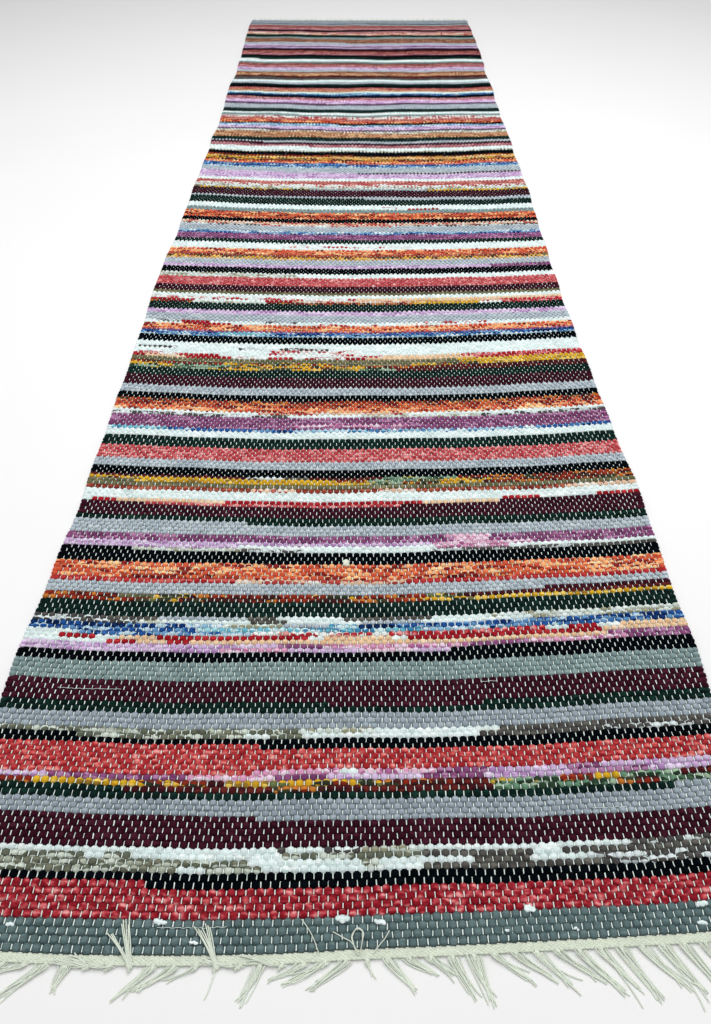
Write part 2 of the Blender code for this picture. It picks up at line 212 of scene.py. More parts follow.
# rag, and where its stripe ends in mm from the near end
# then, where other rags take over, the share of the width from the left and the rag
stripes = [
    ("charcoal", 25), ("crimson", 47.6), ("crimson", 53.8, 0.25, "black"), ("black", 60),
    ("oliveCream", 65.5, 0.285, "white", 0.317, "oliveCream", 0.38, "white", 0.5, "whiteOlive",
     0.53, "white", 0.58, "taupe", 0.8, "taupeWhite"),
    ("oliveCream", 71, 0.37, "white", 0.5, "oliveCream", 0.53, "white", 0.65, "taupe", 0.71, "white",
     0.78, "taupeWhite"),
    ("oliveCream", 76.5, 0.17, "white", 0.2, "oliveCream", 0.23, "white", 0.41, "oliveCream",
     0.585, "taupe", 0.71, "white", 0.74, "taupe"),
    ("white", 81.5, 0.4, "taupe", 0.42, "white", 0.46, "taupeWhite", 0.5, "whiteOlive", 0.585, "white",
     0.83, "taupeWhite"), ("burgundy", 105.5), ("burgundy", 110.5, 0.37, "lightGrey"),
    ("lightGrey", 126), ("darkGreen", 132.8, 0.9, "lightGrey"),
    ("darkGreen", 138.8, 0.2, "brown", 0.39, "rustPrint", 0.45, "brown", 0.68, "sage",
     0.83, "rustPrint", 0.9, "sage"),
    ("rustPrint", 144.8, 0.07, "mustard", 0.21, "mustardPrint", 0.31, "brown", 0.33, "mustard",
     0.39, "mustardPrint", 0.53, "rustPrint", 0.62, "brown", 0.68, "sage", 0.75, "rustPrint",
     0.8, "mustard", 0.84, "sage", 0.92, "brown"),
    ("lilacPrint", 150.5, 0.1, "purple", 0.275, "pinkPrint", 0.39, "purple", 0.46, "lilacPrint",
     0.585, "purple", 0.66, "lilacPrint", 0.78, "purple", 0.88, "lilacPrint"),
    ("brightRed", 156, 0.36, "pinkPrint", 0.47, "white", 0.5, "pinkPrint", 0.6, "purple",
     0.67, "lilacPrint", 0.77, "purple", 0.82, "lilacPrint"), ("brightRed", 177.5),
    ("brightRed", 183, 0.37, "black"), ("black", 188.5),
    ("black", 194, 0.12, "oliveCream", 0.35, "white", 0.375, "oliveCream", 0.42, "white",
     0.663, "taupe", 0.83, "taupeWhite"),
    ("oliveCream", 199.5, 0.42, "whiteOlive", 0.52, "white", 0.7, "taupe"), ("lightGrey", 217.5),
    ("darkGreen", 224), ("darkGreen", 230, 0.46, "burgundy", 0.68, "darkGreen"), ("burgundy", 255.5),
    ("greenGrey", 279.5), ("black", 291.5),
    ("lilacPrint", 297, 0.3, "pinkPrint", 0.4, "lilacPrint", 0.52, "pinkPrint", 0.58, "lilacPrint",
     0.64, "black"),
    ("lilacPrint", 302.5, 0.38, "purple", 0.45, "pinkPrint", 0.66, "purple", 0.75, "pinkPrint",
     0.9, "purple"),
    ("white", 308, 0.12, "redBead", 0.165, "peach", 0.22, "redBead", 0.245, "peach", 0.88, "purple"),
    ("white", 313.5, 0.05, "redBead", 0.1, "white", 0.14, "peach", 0.2, "redBead", 0.43, "white",
     0.45, "peach", 0.55, "white", 0.573, "redBead", 0.87, "peach"),
    ("white", 319, 0.07, "bluePrint", 0.3, "blueWhite", 0.35, "redWhite", 0.54, "redStreak",
     0.79, "white", 0.82, "redBead", 0.87, "white", 0.9, "peach"),
    ("bluePrint", 324.5, 0.25, "cyan", 0.6, "blueWhite", 0.69, "bluePrint"),
    ("navy", 330, 0.15, "bluePrint", 0.24, "blueWhite", 0.3, "whiteOlive", 0.38, "paleGrey",
     0.45, "cyan", 0.5, "navy", 0.55, "bluePrint"),
    ("taupeWhite", 335, 0.16, "whiteOlive", 0.2, "white", 0.33, "taupe", 0.4, "white", 0.5, "paleGrey",
     0.6, "white", 0.76, "whiteOlive"),
    ("taupeWhite", 340, 0.12, "taupe", 0.2, "paleGrey", 0.33, "taupe", 0.38, "white", 0.48, "taupe",
     0.61, "white", 0.7, "whiteOlive"), ("darkGreen", 361),
    ("rustPrint", 366.5, 0.17, "mustardPrint", 0.22, "rustPrint", 0.6, "mustardPrint", 0.69, "mustard"),
    ("rustPrint", 372, 0.12, "olive", 0.17, "mustardPrint", 0.24, "rustPrint", 0.42, "mustardPrint",
     0.5, "rustPrint", 0.61, "mustardPrint", 0.67, "brown"), ("paleGrey", 377.5, 0.8, "burgundy"),
    ("paleGrey", 388.5), ("red", 395, 0.3, "redPeach", 0.57, "red"),
    ("orangePrint", 401, 0.12, "emberPrint", 0.3, "orangePrint", 0.62, "emberPrint",
     0.75, "orangePrint"), ("orangePrint", 419.5), ("black", 438),
    ("black", 443.5, 0.12, "whiteOlive", 0.3, "taupeWhite", 0.4, "white", 0.62, "taupeWhite",
     0.87, "taupe"), ("lilacPrint", 449, 0.3, "white", 0.62, "pinkPrint", 0.75, "white"),
    ("lilacPrint", 454.5, 0.62, "pinkPrint", 0.8, "purple"),
    ("purple", 466, 0.65, "pinkPrint", 0.72, "purple"), ("paleGrey", 484),
    ("paleGrey", 490, 0.3, "darkGreen"), ("darkGreen", 498), ("burgundy", 517),
    ("burgundy", 522, 0.12, "coral", 0.57, "burgundy"),
    ("white", 528, 0.02, "redBead", 0.06, "peach", 0.255, "redBead", 0.61, "peach", 0.74, "burgundy"),
    ("white", 533.5, 0.74, "redBead", 0.82, "white", 0.92, "redBead"), ("white", 545),
    ("rust", 552, 0.3, "redPeach", 0.38, "rust", 0.53, "redPeach", 0.6, "rust", 0.86, "redPeach"),
    ("olive", 560),
    ("olive", 565, 0.09, "mustard", 0.51, "sage", 0.58, "mustardPrint", 0.68, "mustard",
     0.73, "rustPrint"),
    ("mustardPrint", 570, 0.09, "mustard", 0.45, "mustardPrint", 0.51, "sage", 0.6, "mustardPrint",
     0.73, "rustPrint"),
    ("brown", 574.5, 0.3, "taupeWhite", 0.4, "brown", 0.55, "sage", 0.68, "rustPrint"),
    ("black", 589.5), ("paleGrey", 606.5), ("coral", 633.5), ("darkGreen", 655.5), ("white", 670),
    ("cyan", 677, 0.12, "bluePrint", 0.37, "blueWhite", 0.85, "bluePrint"), ("purple", 682),
    ("purple", 688, 0.37, "pinkPrint", 0.6, "purple"), ("purple", 704),
    ("taupeWhite", 711, 0.36, "white", 0.5, "whiteOlive", 0.75, "taupeWhite"),
    ("white", 716.5, 0.3, "redPeach", 0.6, "white"), ("orangePrint", 728), ("emberPrint", 739),
    ("rustPrint", 744), ("black", 758), ("paleGrey", 777.5), ("burgundy", 804), ("darkGreen", 823),
    ("sage", 830, 0.2, "mustardPrint", 0.5, "sage", 0.57, "brown"),
    ("mustardPrint", 837, 0.1, "sage", 0.22, "mustardPrint", 0.52, "rustPrint", 0.62, "brown"),
    ("rustPrint", 843, 0.2, "mustardPrint", 0.45, "olive", 0.61, "mustard", 0.67, "mustardPrint",
     0.75, "mustard"), ("olive", 854, 0.72, "mustard"),
    ("redBead", 860, 0.03, "peach", 0.12, "redBead", 0.22, "redWhite", 0.31, "redBead",
     0.36, "redWhite", 0.47, "redBead", 0.51, "peach", 0.75, "redStreak"),
    ("redWhite", 867, 0.12, "redBead", 0.2, "white", 0.45, "redWhite", 0.55, "peach",
     0.72, "redStreak"), ("white", 880, 0.3, "redWhite", 0.5, "white"),
    ("taupeWhite", 886, 0.09, "white", 0.24, "taupeWhite", 0.44, "white"), ("white", 899.5),
    ("black", 919), ("blueWhite", 923.5),
    ("bluePrint", 932, 0.17, "cyan", 0.3, "bluePrint", 0.9, "navy"), ("purple", 936),
    ("orangePrint", 955),
    ("white", 960, 0.085, "redBead", 0.2, "white", 0.4, "redWhite", 0.55, "white"),
    ("white", 966, 0.02, "taupeWhite", 0.085, "redBead", 0.15, "white", 0.27, "taupeWhite",
     0.36, "white", 0.6, "redWhite", 0.8, "white"), ("paleGrey", 988), ("lilacPrint", 1002),
    ("darkGreen", 1025),
    ("rustPrint", 1031, 0.1, "whiteOlive", 0.28, "rustPrint", 0.63, "mustard", 0.8, "white",
     0.85, "redStreak"),
    ("redBead", 1038, 0.1, "white", 0.28, "redBead", 0.35, "redPeach", 0.63, "straw", 0.8, "redPeach",
     0.85, "redStreak"), ("redWhite", 1046, 0.5, "peach"), ("white", 1057), ("olive", 1066),
    ("burgundy", 1088), ("coral", 1118), ("whiteOlive", 1134, 0.35, "white"), ("black", 1155),
    ("lilacPrint", 1167, 0.85, "purple"), ("paleGrey", 1188), ("straw", 1194), ("mustardPrint", 1201),
    ("rust", 1208), ("orangePrint", 1229), ("white", 1238),
    ("white", 1243.5, 0.3, "redWhite", 0.65, "white"), ("white", 1256), ("darkGreen", 1272),
    ("purple", 1295), ("bluePrint", 1301), ("blueWhite", 1308), ("paleGrey", 1331),
    ("taupeWhite", 1337, 0.22, "redWhite", 0.38, "white", 0.41, "redPeach", 0.6, "taupeWhite"),
    ("redPeach", 1349), ("black", 1366), ("orangePrint", 1374), ("emberPrint", 1384),
    ("orangePrint", 1397), ("greenGrey", 1413), ("white", 1419, 0.64, "redBead", 0.73, "white"),
    ("white", 1425, 0.56, "redWhite", 0.61, "white"), ("white", 1435), ("darkGreen", 1463),
    ("paleGrey", 1478), ("burgundy", 1511), ("mustardPrint", 1518, 0.35, "lightGrey", 0.7, "mustard"),
    ("whiteOlive", 1530), ("redWhite", 1539), ("fadedCoral", 1561), ("white", 1575),
    ("lilacPrint", 1601), ("taupe", 1607), ("paleGrey", 1637), ("blueWhite", 1643), ("bluePrint", 1658),
    ("fadedCoral", 1664), ("orangePrint", 1676), ("rustPrint", 1684), ("mustardPrint", 1691),
    ("straw", 1704), ("rustPrint", 1709), ("black", 1736), ("whiteOlive", 1745), ("white", 1763),
    ("rose", 1779), ("burgundy", 1792), ("paleGrey", 1805), ("darkGreen", 1829), ("tanPrint", 1858),
    ("whiteOlive", 1871), ("plum", 1880), ("lilacPrint", 1900), ("blueWhite", 1914), ("black", 1928),
    ("orangePrint", 1940), ("fadedCoral", 1957), ("redWhite", 1973), ("greenGrey", 1988),
    ("white", 2007), ("darkGreen", 2034), ("paleGrey", 2067), ("plum", 2083), ("lilacPrint", 2104),
    ("pinkPrint", 2114), ("rose", 2131), ("black", 2149), ("navy", 2156), ("bluePrint", 2164),
    ("cyan", 2170), ("white", 2184), ("tanPrint", 2201), ("fadedCoral", 2218), ("black", 2236),
    ("darkGreen", 2254), ("paleGrey", 2274), ("white", 2292), ("taupe", 2310), ("brown", 2329),
    ("tanPrint", 2350), ("tanBrown", 2368), ("paleGrey", 2388), ("lilacPrint", 2408), ("rose", 2428),
    ("dullRed", 2446), ("taupe", 2455), ("greenGrey", 2470), ("white", 2492), ("darkGreen", 2513),
    ("black", 2532), ("burgundy", 2540), ("rose", 2552), ("dullRed", 2576), ("brown", 2588),
    ("black", 2599), ("plum", 2610), ("lilacPrint", 2622), ("plum", 2632), ("lilacPrint", 2646),
    ("paleGrey", 2668), ("tanBrown", 2716), ("greenGrey", 2739), ("darkGreen", 2764),
    ("redPeach", 2790), ("rose", 2812), ("black", 2837), ("rose", 2862), ("dullRed", 2890),
    ("lightGrey", 2908), ("taupe", 2921), ("lightGrey", 2935),
]
pickRules = {
    "endingFrom": 1.42,  # from here on some rags end part of the way across
    "endingChance": 0.5,
    "endingShares": (0.08, 0.6),
    "runJitter": 0.006,
    "patternShift": 20,
}
seenHeight = 5.6 * mm  # how high the cloth's face lies; the chart was read as if it lay on the floor


def placeOf(seen):  # where on the rug a place lies that was read as if it lay on the floor
    if seen >= plan["length"]:
        return plan["length"]
    return seen - seenHeight * (seen + view["before"]) / view["height"]


def layPicks():  # one row for each pick: its place along, its depth, and its rags from left to right
    picks = []
    edge = 0.0
    for stripe in stripes:
        name, far = stripe[0], placeOf(stripe[1] * mm)
        depth = far - edge
        count = max(1, round(depth / (rags[name]["pick"] * mm)))
        runs = [(0.0, name)] + list(zip(stripe[2::2], stripe[3::2]))
        for number in range(count):
            jitter = pickRules["runJitter"]
            moved = [(start + dice.uniform(-jitter, jitter) * (start > 0), rag) for start, rag in runs]
            mayEnd = number == 0 and edge > pickRules["endingFrom"]
            if mayEnd and dice.random() < pickRules["endingChance"]:
                share = dice.uniform(*pickRules["endingShares"])
                before = picks[-1]["runs"][0][1]
                moved = [(0.0, before)] + [(max(start, share), rag) for start, rag in moved]
            along = edge + depth * (number + 0.5) / count
            picks.append({"along": along, "depth": depth / count, "runs": moved})
        edge = far
    for number, pick in enumerate(picks):
        pick["left"], pick["right"] = sidesAt(pick["along"])
        pick["shift"] = dice.uniform(-pickRules["patternShift"], pickRules["patternShift"], 3)
        pick["offset"] = 0.5 * (number % 2)
    return picks


def ragAt(pick, share):
    found = pick["runs"][0][1]
    for start, rag in pick["runs"]:
        if share >= start:
            found = rag
    return found


def linear(colour):  # an sRGB colour of 0 to 255, as the shader wants it
    parts = [c / 255 for c in colour]
    return (*[c / 12.92 if c <= 0.04045 else ((c + 0.055) / 1.055) ** 2.4 for c in parts], 1.0)


def newTree(material):
    material.use_nodes = True
    nodes, links = material.node_tree.nodes, material.node_tree.links
    return nodes, links, nodes["Principled BSDF"]


def addNode(nodes, kind, **settings):
    node = nodes.new(kind)
    for name, value in settings.items():
        setattr(node, name, value)
    return node


def mathNode(nodes, links, operation, first, second=None, kind="ShaderNodeMath"):
    node = addNode(nodes, kind, operation=operation)
    for socket, value in zip(node.inputs, (first, second)):
        if isinstance(value, bpy.types.NodeSocket):
            links.new(value, socket)
        elif value is not None:
            socket.default_value = value
    return node.outputs[0]


def addObject(name, mesh):
    piece = bpy.data.objects.new(name, mesh)
    scene.collection.objects.link(piece)
    return piece


def meshFrom(bm, name, smooth=True):
    mesh = bpy.data.meshes.new(name)
    bm.to_mesh(mesh)
    bm.free()
    if smooth:
        mesh.shade_smooth()
    return mesh


def putAttribute(mesh, name, kind, values):
    slot = mesh.attributes.new(name, kind, "POINT")
    key = "vector" if kind == "FLOAT_VECTOR" else "value"
    slot.data.foreach_set(key, np.asarray(values, dtype=np.float32).ravel())


def plainCopy(holder, name, extra=()):  # what the modifiers make, as a plain mesh in its own object
    scene.view_layers[0].update()
    graph = bpy.context.evaluated_depsgraph_get()
    mesh = bpy.data.meshes.new_from_object(holder.evaluated_get(graph), depsgraph=graph)
    mesh.name = name
    for spare in extra:
        if spare in mesh.attributes:
            mesh.attributes.remove(mesh.attributes[spare])
    holder.modifiers.clear()
    bpy.data.objects.remove(holder)
    return addObject(name, mesh)


def finishPiece(piece, slot, *nodes):
    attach(piece, "root")
    if nodes:
        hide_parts(*nodes)
    return piece


def newGroup(name, sockets):
    group = bpy.data.node_groups.new(name, "GeometryNodeTree")
    group.interface.new_socket("Geometry", in_out="INPUT", socket_type="NodeSocketGeometry")
    for label, kind, default in sockets:
        socket = group.interface.new_socket(label, in_out="INPUT", socket_type=kind)
        if default is not None:
            socket.default_value = default
    group.interface.new_socket("Geometry", in_out="OUTPUT", socket_type="NodeSocketGeometry")
    start, end = group.nodes.new("NodeGroupInput"), group.nodes.new("NodeGroupOutput")
    return group, start, end


def setInputs(holder, group, values):
    modifier = holder.modifiers.new(group.name, "NODES")
    modifier.node_group = group
    for item in group.interface.items_tree:
        if item.in_out == "INPUT" and item.name in values:
            modifier[item.identifier] = values[item.name]
    return modifier


def vectorNode(nodes, links, operation, first, second):
    return mathNode(nodes, links, operation, first, second, "ShaderNodeVectorMath")


def storedVector(nodes, name):
    node = addNode(nodes, "GeometryNodeInputNamedAttribute", data_type="FLOAT_VECTOR")
    node.inputs["Name"].default_value = name
    return node.outputs["Attribute"]


def randomVector(nodes, links, low, high, seed):
    chance = addNode(nodes, "FunctionNodeRandomValue", data_type="FLOAT_VECTOR")
    links.new(low, chance.inputs[0])
    links.new(high, chance.inputs[1])
    links.new(seed, chance.inputs["Seed"])
    return chance.outputs["Value"]


def closeGroup(group, geometry, material, end):  # plain faces with the piece's own finish
    nodes, links = group.nodes, group.links
    real = nodes.new("GeometryNodeRealizeInstances")
    links.new(geometry, real.inputs[0])
    finish = nodes.new("GeometryNodeSetMaterial")
    links.new(real.outputs[0], finish.inputs["Geometry"])
    links.new(material, finish.inputs["Material"])
    links.new(finish.outputs[0], end.inputs[0])
    return group


def buildLayGroup():  # a small shape on each point, turned and sized by the point's own attributes
    group, start, end = newGroup("layOnPoints", [
        ("Shape", "NodeSocketObject", None),
        ("Across", "NodeSocketFloat", 1.0),
        ("Depth", "NodeSocketFloat", 1.0),
        ("Height", "NodeSocketFloat", 1.0),
        ("Size jitter", "NodeSocketFloat", 0.05),
        ("Turn jitter", "NodeSocketFloat", 0.05),
        ("Seed", "NodeSocketInt", 3),
        ("Finish", "NodeSocketMaterial", None),
    ])
    nodes, links, given = group.nodes, group.links, start.outputs
    shape = nodes.new("GeometryNodeObjectInfo")
    links.new(given["Shape"], shape.inputs["Object"])
    whole = nodes.new("ShaderNodeCombineXYZ")
    for axis, label in zip("XYZ", ("Across", "Depth", "Height")):
        links.new(given[label], whole.inputs[axis])
    scaled = vectorNode(nodes, links, "MULTIPLY", storedVector(nodes, "laySize"), whole.outputs[0])
    low = mathNode(nodes, links, "SUBTRACT", 1.0, given["Size jitter"])
    high = mathNode(nodes, links, "ADD", 1.0, given["Size jitter"])
    chance = randomVector(nodes, links, low, high, given["Seed"])
    jittered = vectorNode(nodes, links, "MULTIPLY", scaled, chance)
    back = mathNode(nodes, links, "MULTIPLY", given["Turn jitter"], -1.0)
    lean = randomVector(nodes, links, back, given["Turn jitter"], given["Seed"])
    turned = vectorNode(nodes, links, "ADD", storedVector(nodes, "layTurn"), lean)
    lay = nodes.new("GeometryNodeInstanceOnPoints")
    links.new(given["Geometry"], lay.inputs["Points"])
    links.new(shape.outputs["Geometry"], lay.inputs["Instance"])
    links.new(turned, lay.inputs["Rotation"])
    links.new(jittered, lay.inputs["Scale"])
    return closeGroup(group, lay.outputs[0], given["Finish"], end)


def buildYarnGroup():  # a round yarn along each edge path
    group, start, end = newGroup("yarnOnPaths", [
        ("Yarn radius", "NodeSocketFloat", 0.6 * mm),
        ("Sides", "NodeSocketInt", 5),
        ("Finish", "NodeSocketMaterial", None),
    ])
    nodes, links, given = group.nodes, group.links, start.outputs
    paths = nodes.new("GeometryNodeMeshToCurve")
    links.new(given["Geometry"], paths.inputs["Mesh"])
    ring = nodes.new("GeometryNodeCurvePrimitiveCircle")
    links.new(given["Sides"], ring.inputs["Resolution"])
    links.new(given["Yarn radius"], ring.inputs["Radius"])
    yarn = nodes.new("GeometryNodeCurveToMesh")
    links.new(paths.outputs[0], yarn.inputs["Curve"])
    links.new(ring.outputs[0], yarn.inputs["Profile Curve"])
    yarn.inputs["Fill Caps"].default_value = True
    smooth = nodes.new("GeometryNodeSetShadeSmooth")
    links.new(yarn.outputs[0], smooth.inputs["Geometry"])
    return closeGroup(group, smooth.outputs[0], given["Finish"], end)


layGroup = buildLayGroup()
yarnGroup = buildYarnGroup()


def layShapes(name, shape, spots, values, finish):
    # spots has rows of centre, turn and size, each a vector, with a tint and a shift for the finish
    mesh = bpy.data.meshes.new(name)
    mesh.vertices.add(len(spots["centre"]))
    mesh.vertices.foreach_set("co", np.asarray(spots["centre"], dtype=np.float32).ravel())
    putAttribute(mesh, "layTurn", "FLOAT_VECTOR", spots["turn"])
    putAttribute(mesh, "laySize", "FLOAT_VECTOR", spots["size"])
    putAttribute(mesh, "tint", "FLOAT", spots["tint"])
    putAttribute(mesh, "shift", "FLOAT_VECTOR", spots["shift"])
    holder = addObject(name + "Points", mesh)
    setInputs(holder, layGroup, {"Shape": shape, "Finish": finish, **values})
    return plainCopy(holder, name, ("layTurn", "laySize"))


def layYarns(name, paths, radius, sides, finish):
    mesh = bpy.data.meshes.new(name)
    points = [point for path in paths for point in path]
    edges, first = [], 0
    for path in paths:
        edges += [(first + k, first + k + 1) for k in range(len(path) - 1)]
        first += len(path)
    mesh.from_pydata(points, edges, [])
    tints = [tint for path in paths for tint in [dice.random()] * len(path)]
    putAttribute(mesh, "tint", "FLOAT", tints)
    holder = addObject(name + "Paths", mesh)
    setInputs(holder, yarnGroup, {"Yarn radius": radius, "Sides": sides, "Finish": finish})
    return plainCopy(holder, name)


ragLook = {
    "patchLength": 14.0 * mm,
    "patchDepth": 4.0 * mm,
    "softLength": 9.0 * mm,
    "softDepth": 4.6 * mm,
    "softRamp": (0.40, 0.74),
    "patchHeight": 20 * mm,
    "colourShares": [0.36, 0.26, 0.18, 0.12, 0.08],
    "foldSpacing": 1.5 * mm,
    "foldLength": 9.0 * mm,
    "foldHeight": 4 * mm,
    "threadSpacing": 0.45 * mm,
    "threadShare": 0.3,
    # how dark the shade painted into the beads' creases is, and how fast it gathers towards their rims
    "creaseShadeDark": 0.55,
    "creaseShadeCurve": 1.6,
    "tintSpread": 0.14,
    # how strongly the folds' painted shade and light change the colour
    "foldShadeSpread": 0.32,
    "bump": 0.5 * mm,
    "bumpStrength": 0.8,
    "roughness": 0.93,
    "shine": 0.03,
}


def noiseAt(nodes, links, place, scale=1.0, detail=2.0):
    noise = nodes.new("ShaderNodeTexNoise")
    noise.inputs["Scale"].default_value = scale
    noise.inputs["Detail"].default_value = detail
    links.new(place, noise.inputs["Vector"])
    return noise.outputs[0]


def lineOf(nodes, links, source, times, plus):
    return mathNode(nodes, links, "ADD", mathNode(nodes, links, "MULTIPLY", source, times), plus)


def attributeValue(nodes, name):
    return addNode(nodes, "ShaderNodeAttribute", attribute_name=name).outputs["Fac"]


def shiftedPlace(nodes, links):  # the place on the rug, moved by an own amount for each pick
    place = nodes.new("ShaderNodeTexCoord").outputs["Object"]
    shift = addNode(nodes, "ShaderNodeAttribute", attribute_name="shift").outputs["Vector"]
    return vectorNode(nodes, links, "ADD", place, shift)


def stretched(nodes, links, place, across, along, up):
    mapping = nodes.new("ShaderNodeMapping")
    links.new(place, mapping.inputs["Vector"])
    mapping.inputs["Scale"].default_value = (1 / across, 1 / along, 1 / up)
    return mapping.outputs[0]


def scaledColour(nodes, links, colour, light, shader):  # the base colour: a colour times a light
    shaded = addNode(nodes, "ShaderNodeVectorMath", operation="SCALE")
    if isinstance(colour, bpy.types.NodeSocket):
        links.new(colour, shaded.inputs[0])
    else:
        shaded.inputs[0].default_value = colour
    links.new(light, shaded.inputs["Scale"])
    links.new(shaded.outputs[0], shader.inputs["Base Color"])


def addRelief(nodes, links, height, look, shader, invert=False):  # bump, with the look's own shine
    bump = nodes.new("ShaderNodeBump")
    bump.invert = invert
    bump.inputs["Strength"].default_value = look["bumpStrength"]
    bump.inputs["Distance"].default_value = look["bump"]
    links.new(height, bump.inputs["Height"])
    links.new(bump.outputs[0], shader.inputs["Normal"])
    shader.inputs["Roughness"].default_value = look["roughness"]
    shader.inputs["Specular IOR Level"].default_value = look["shine"]


def ragMaterial(name, rag):
    material = bpy.data.materials.new(name)
    nodes, links, shader = newTree(material)
    place = shiftedPlace(nodes, links)
    colours = rag["colours"]
    chooser = nodes.new("ShaderNodeValToRGB")
    ramp = chooser.color_ramp.elements
    while len(ramp) < len(colours):
        ramp.new(0.5)
    kind = "soft" if "soft" in rag else "patch"
    size = (ragLook[kind + "Length"], ragLook[kind + "Depth"], ragLook["patchHeight"])
    patchPlace = stretched(nodes, links, place, *size)
    if kind == "soft":
        links.new(noiseAt(nodes, links, patchPlace, detail=1.0), chooser.inputs[0])
        edges = np.linspace(*ragLook["softRamp"], len(colours))
    else:
        patches = addNode(nodes, "ShaderNodeTexVoronoi", feature="F1")
        patches.inputs["Scale"].default_value = 1.0
        links.new(patchPlace, patches.inputs["Vector"])
        single = nodes.new("ShaderNodeSeparateColor")
        links.new(patches.outputs["Color"], single.inputs[0])
        links.new(single.outputs[0], chooser.inputs[0])
        chooser.color_ramp.interpolation = "CONSTANT"
        shares = ragLook["colourShares"][:len(colours)]
        edges = np.cumsum([0.0] + shares[:-1]) / sum(shares)
    for stop, edge, colour in zip(ramp, edges, colours):
        stop.position = edge
        stop.color = linear(colour)
    # painted shade and light: the fold noise that raises the bump also darkens the colour in the folds'
    # hollows and lightens it on their ridges
    foldSize = (ragLook["foldLength"], ragLook["foldSpacing"], ragLook["foldHeight"])
    folds = noiseAt(nodes, links, stretched(nodes, links, place, *foldSize))
    foldShadeSpread, tintSpread = ragLook["foldShadeSpread"], ragLook["tintSpread"]
    foldLight = lineOf(nodes, links, folds, foldShadeSpread * 2, 1 - foldShadeSpread)
    tintLight = lineOf(nodes, links, attributeValue(nodes, "tint"), tintSpread, 1 - tintSpread / 2)
    # painted shade: each bead's colour darkens towards its rim, where it sinks into the shaded creases
    # between beads
    paintedCreaseShade = mathNode(nodes, links, "POWER", attributeValue(nodes, "paintedCreaseShade"), ragLook["creaseShadeCurve"])
    creaseShadeLight = lineOf(nodes, links, paintedCreaseShade, -rag.get("paintedCreaseShade", ragLook["creaseShadeDark"]), 1.0)
    light = mathNode(nodes, links, "MULTIPLY", foldLight, tintLight)
    light = mathNode(nodes, links, "MULTIPLY", light, creaseShadeLight)
    scaledColour(nodes, links, chooser.outputs[0], light, shader)
    threadSize = [ragLook["threadSpacing"]] * 3
    threads = noiseAt(nodes, links, stretched(nodes, links, place, *threadSize))
    height = mathNode(nodes, links, "MULTIPLY", threads, ragLook["threadShare"])
    height = mathNode(nodes, links, "ADD", height, folds)
    addRelief(nodes, links, height, ragLook, shader)
    return material


cottonLook = {
    "warp": (240, 254, 247),
    "heading": (222, 229, 213),
    "fringe": (226, 234, 219),
    "grain": 0.5 * mm,
    "headingGrain": 0.8 * mm,
    "grainSpread": 0.25,
    "tintSpread": 0.12,
    "dustScale": 60.0,
    "dustSpread": 0.16,
    "bump": 0.2 * mm,
    "bumpStrength": 0.6,
    "roughness": 0.9,
    "shine": 0.25,
    "sheen": 0.08,
}


def cottonMaterial(name, colour, grain):
    material = bpy.data.materials.new(name)
    nodes, links, shader = newTree(material)
    place = nodes.new("ShaderNodeTexCoord").outputs["Object"]
    fibres = noiseAt(nodes, links, place, 1 / grain, 3.0)
    parts = [
        (fibres, cottonLook["grainSpread"]),
        (attributeValue(nodes, "tint"), cottonLook["tintSpread"]),
        (noiseAt(nodes, links, place, cottonLook["dustScale"]), cottonLook["dustSpread"]),
    ]
    light = 1 - sum(spread for _, spread in parts) / 2
    for source, spread in parts:
        share = mathNode(nodes, links, "MULTIPLY", source, spread)
        light = mathNode(nodes, links, "ADD", share, light)
    scaledColour(nodes, links, linear(colour)[:3], light, shader)
    addRelief(nodes, links, fibres, cottonLook, shader)
    shader.inputs["Sheen Weight"].default_value = cottonLook["sheen"]
    return material


# the cloth under the picks; its section is in mm, in from the side and up
groundLook = {
    # bead-sized lumps whose edges, between the picks, are darkened as painted shade
    "lumps": (8.5 * mm, 6.2 * mm, 50 * mm),
    "lumpEdgeShade": 0.45,
    "lumpCentreLight": 0.95,
    "bump": 1.5 * mm,
    "bumpStrength": 1.0,
    "roughness": 0.95,
    "shine": 0.1,
    "columns": 12,
    "inset": 1.2 * mm,
    "section": [(1.6, 0.0), (0.2, 0.9), (0.0, 2.0), (0.5, 3.0), (1.6, 3.65)],
    # each stripe's colour is darkened to this share as painted shade, since the cloth lies in shade under
    # the picks
    "shadedColourShare": 0.8,
    "endColour": (0.2, 0.2, 0.2, 1.0),
}


def groundMaterial():  # the cloth between and under the picks, in its stripes' colours darkened as painted shade: all of it, and more towards each bead-sized lump's edge
    material = bpy.data.materials.new("ragGround")
    nodes, links, shader = newTree(material)
    place = nodes.new("ShaderNodeTexCoord").outputs["Object"]
    colour = addNode(nodes, "ShaderNodeAttribute", attribute_name="shadedPickColour").outputs["Color"]
    lumps = addNode(nodes, "ShaderNodeTexVoronoi", feature="F1")
    lumps.inputs["Scale"].default_value = 1.0
    links.new(stretched(nodes, links, place, *groundLook["lumps"]), lumps.inputs["Vector"])
    depth = lumps.outputs["Distance"]
    light = lineOf(nodes, links, depth, -groundLook["lumpEdgeShade"], groundLook["lumpCentreLight"])
    scaledColour(nodes, links, colour, light, shader)
    addRelief(nodes, links, depth, groundLook, shader, invert=True)
    return material


beadLook = {
    "across": 0.99,
    "depth": 1.04,
    "rimHeight": 3.7 * mm,
    "topHeight": 6.35 * mm,
    "sizeJitter": 0.06,
    "turnJitter": 0.06,
    "topSpread": 0.1,
    "topLimits": (0.75, 1.25),
    "acrossJitter": 0.12 * mm,
    "alongJitter": 0.1 * mm,
}


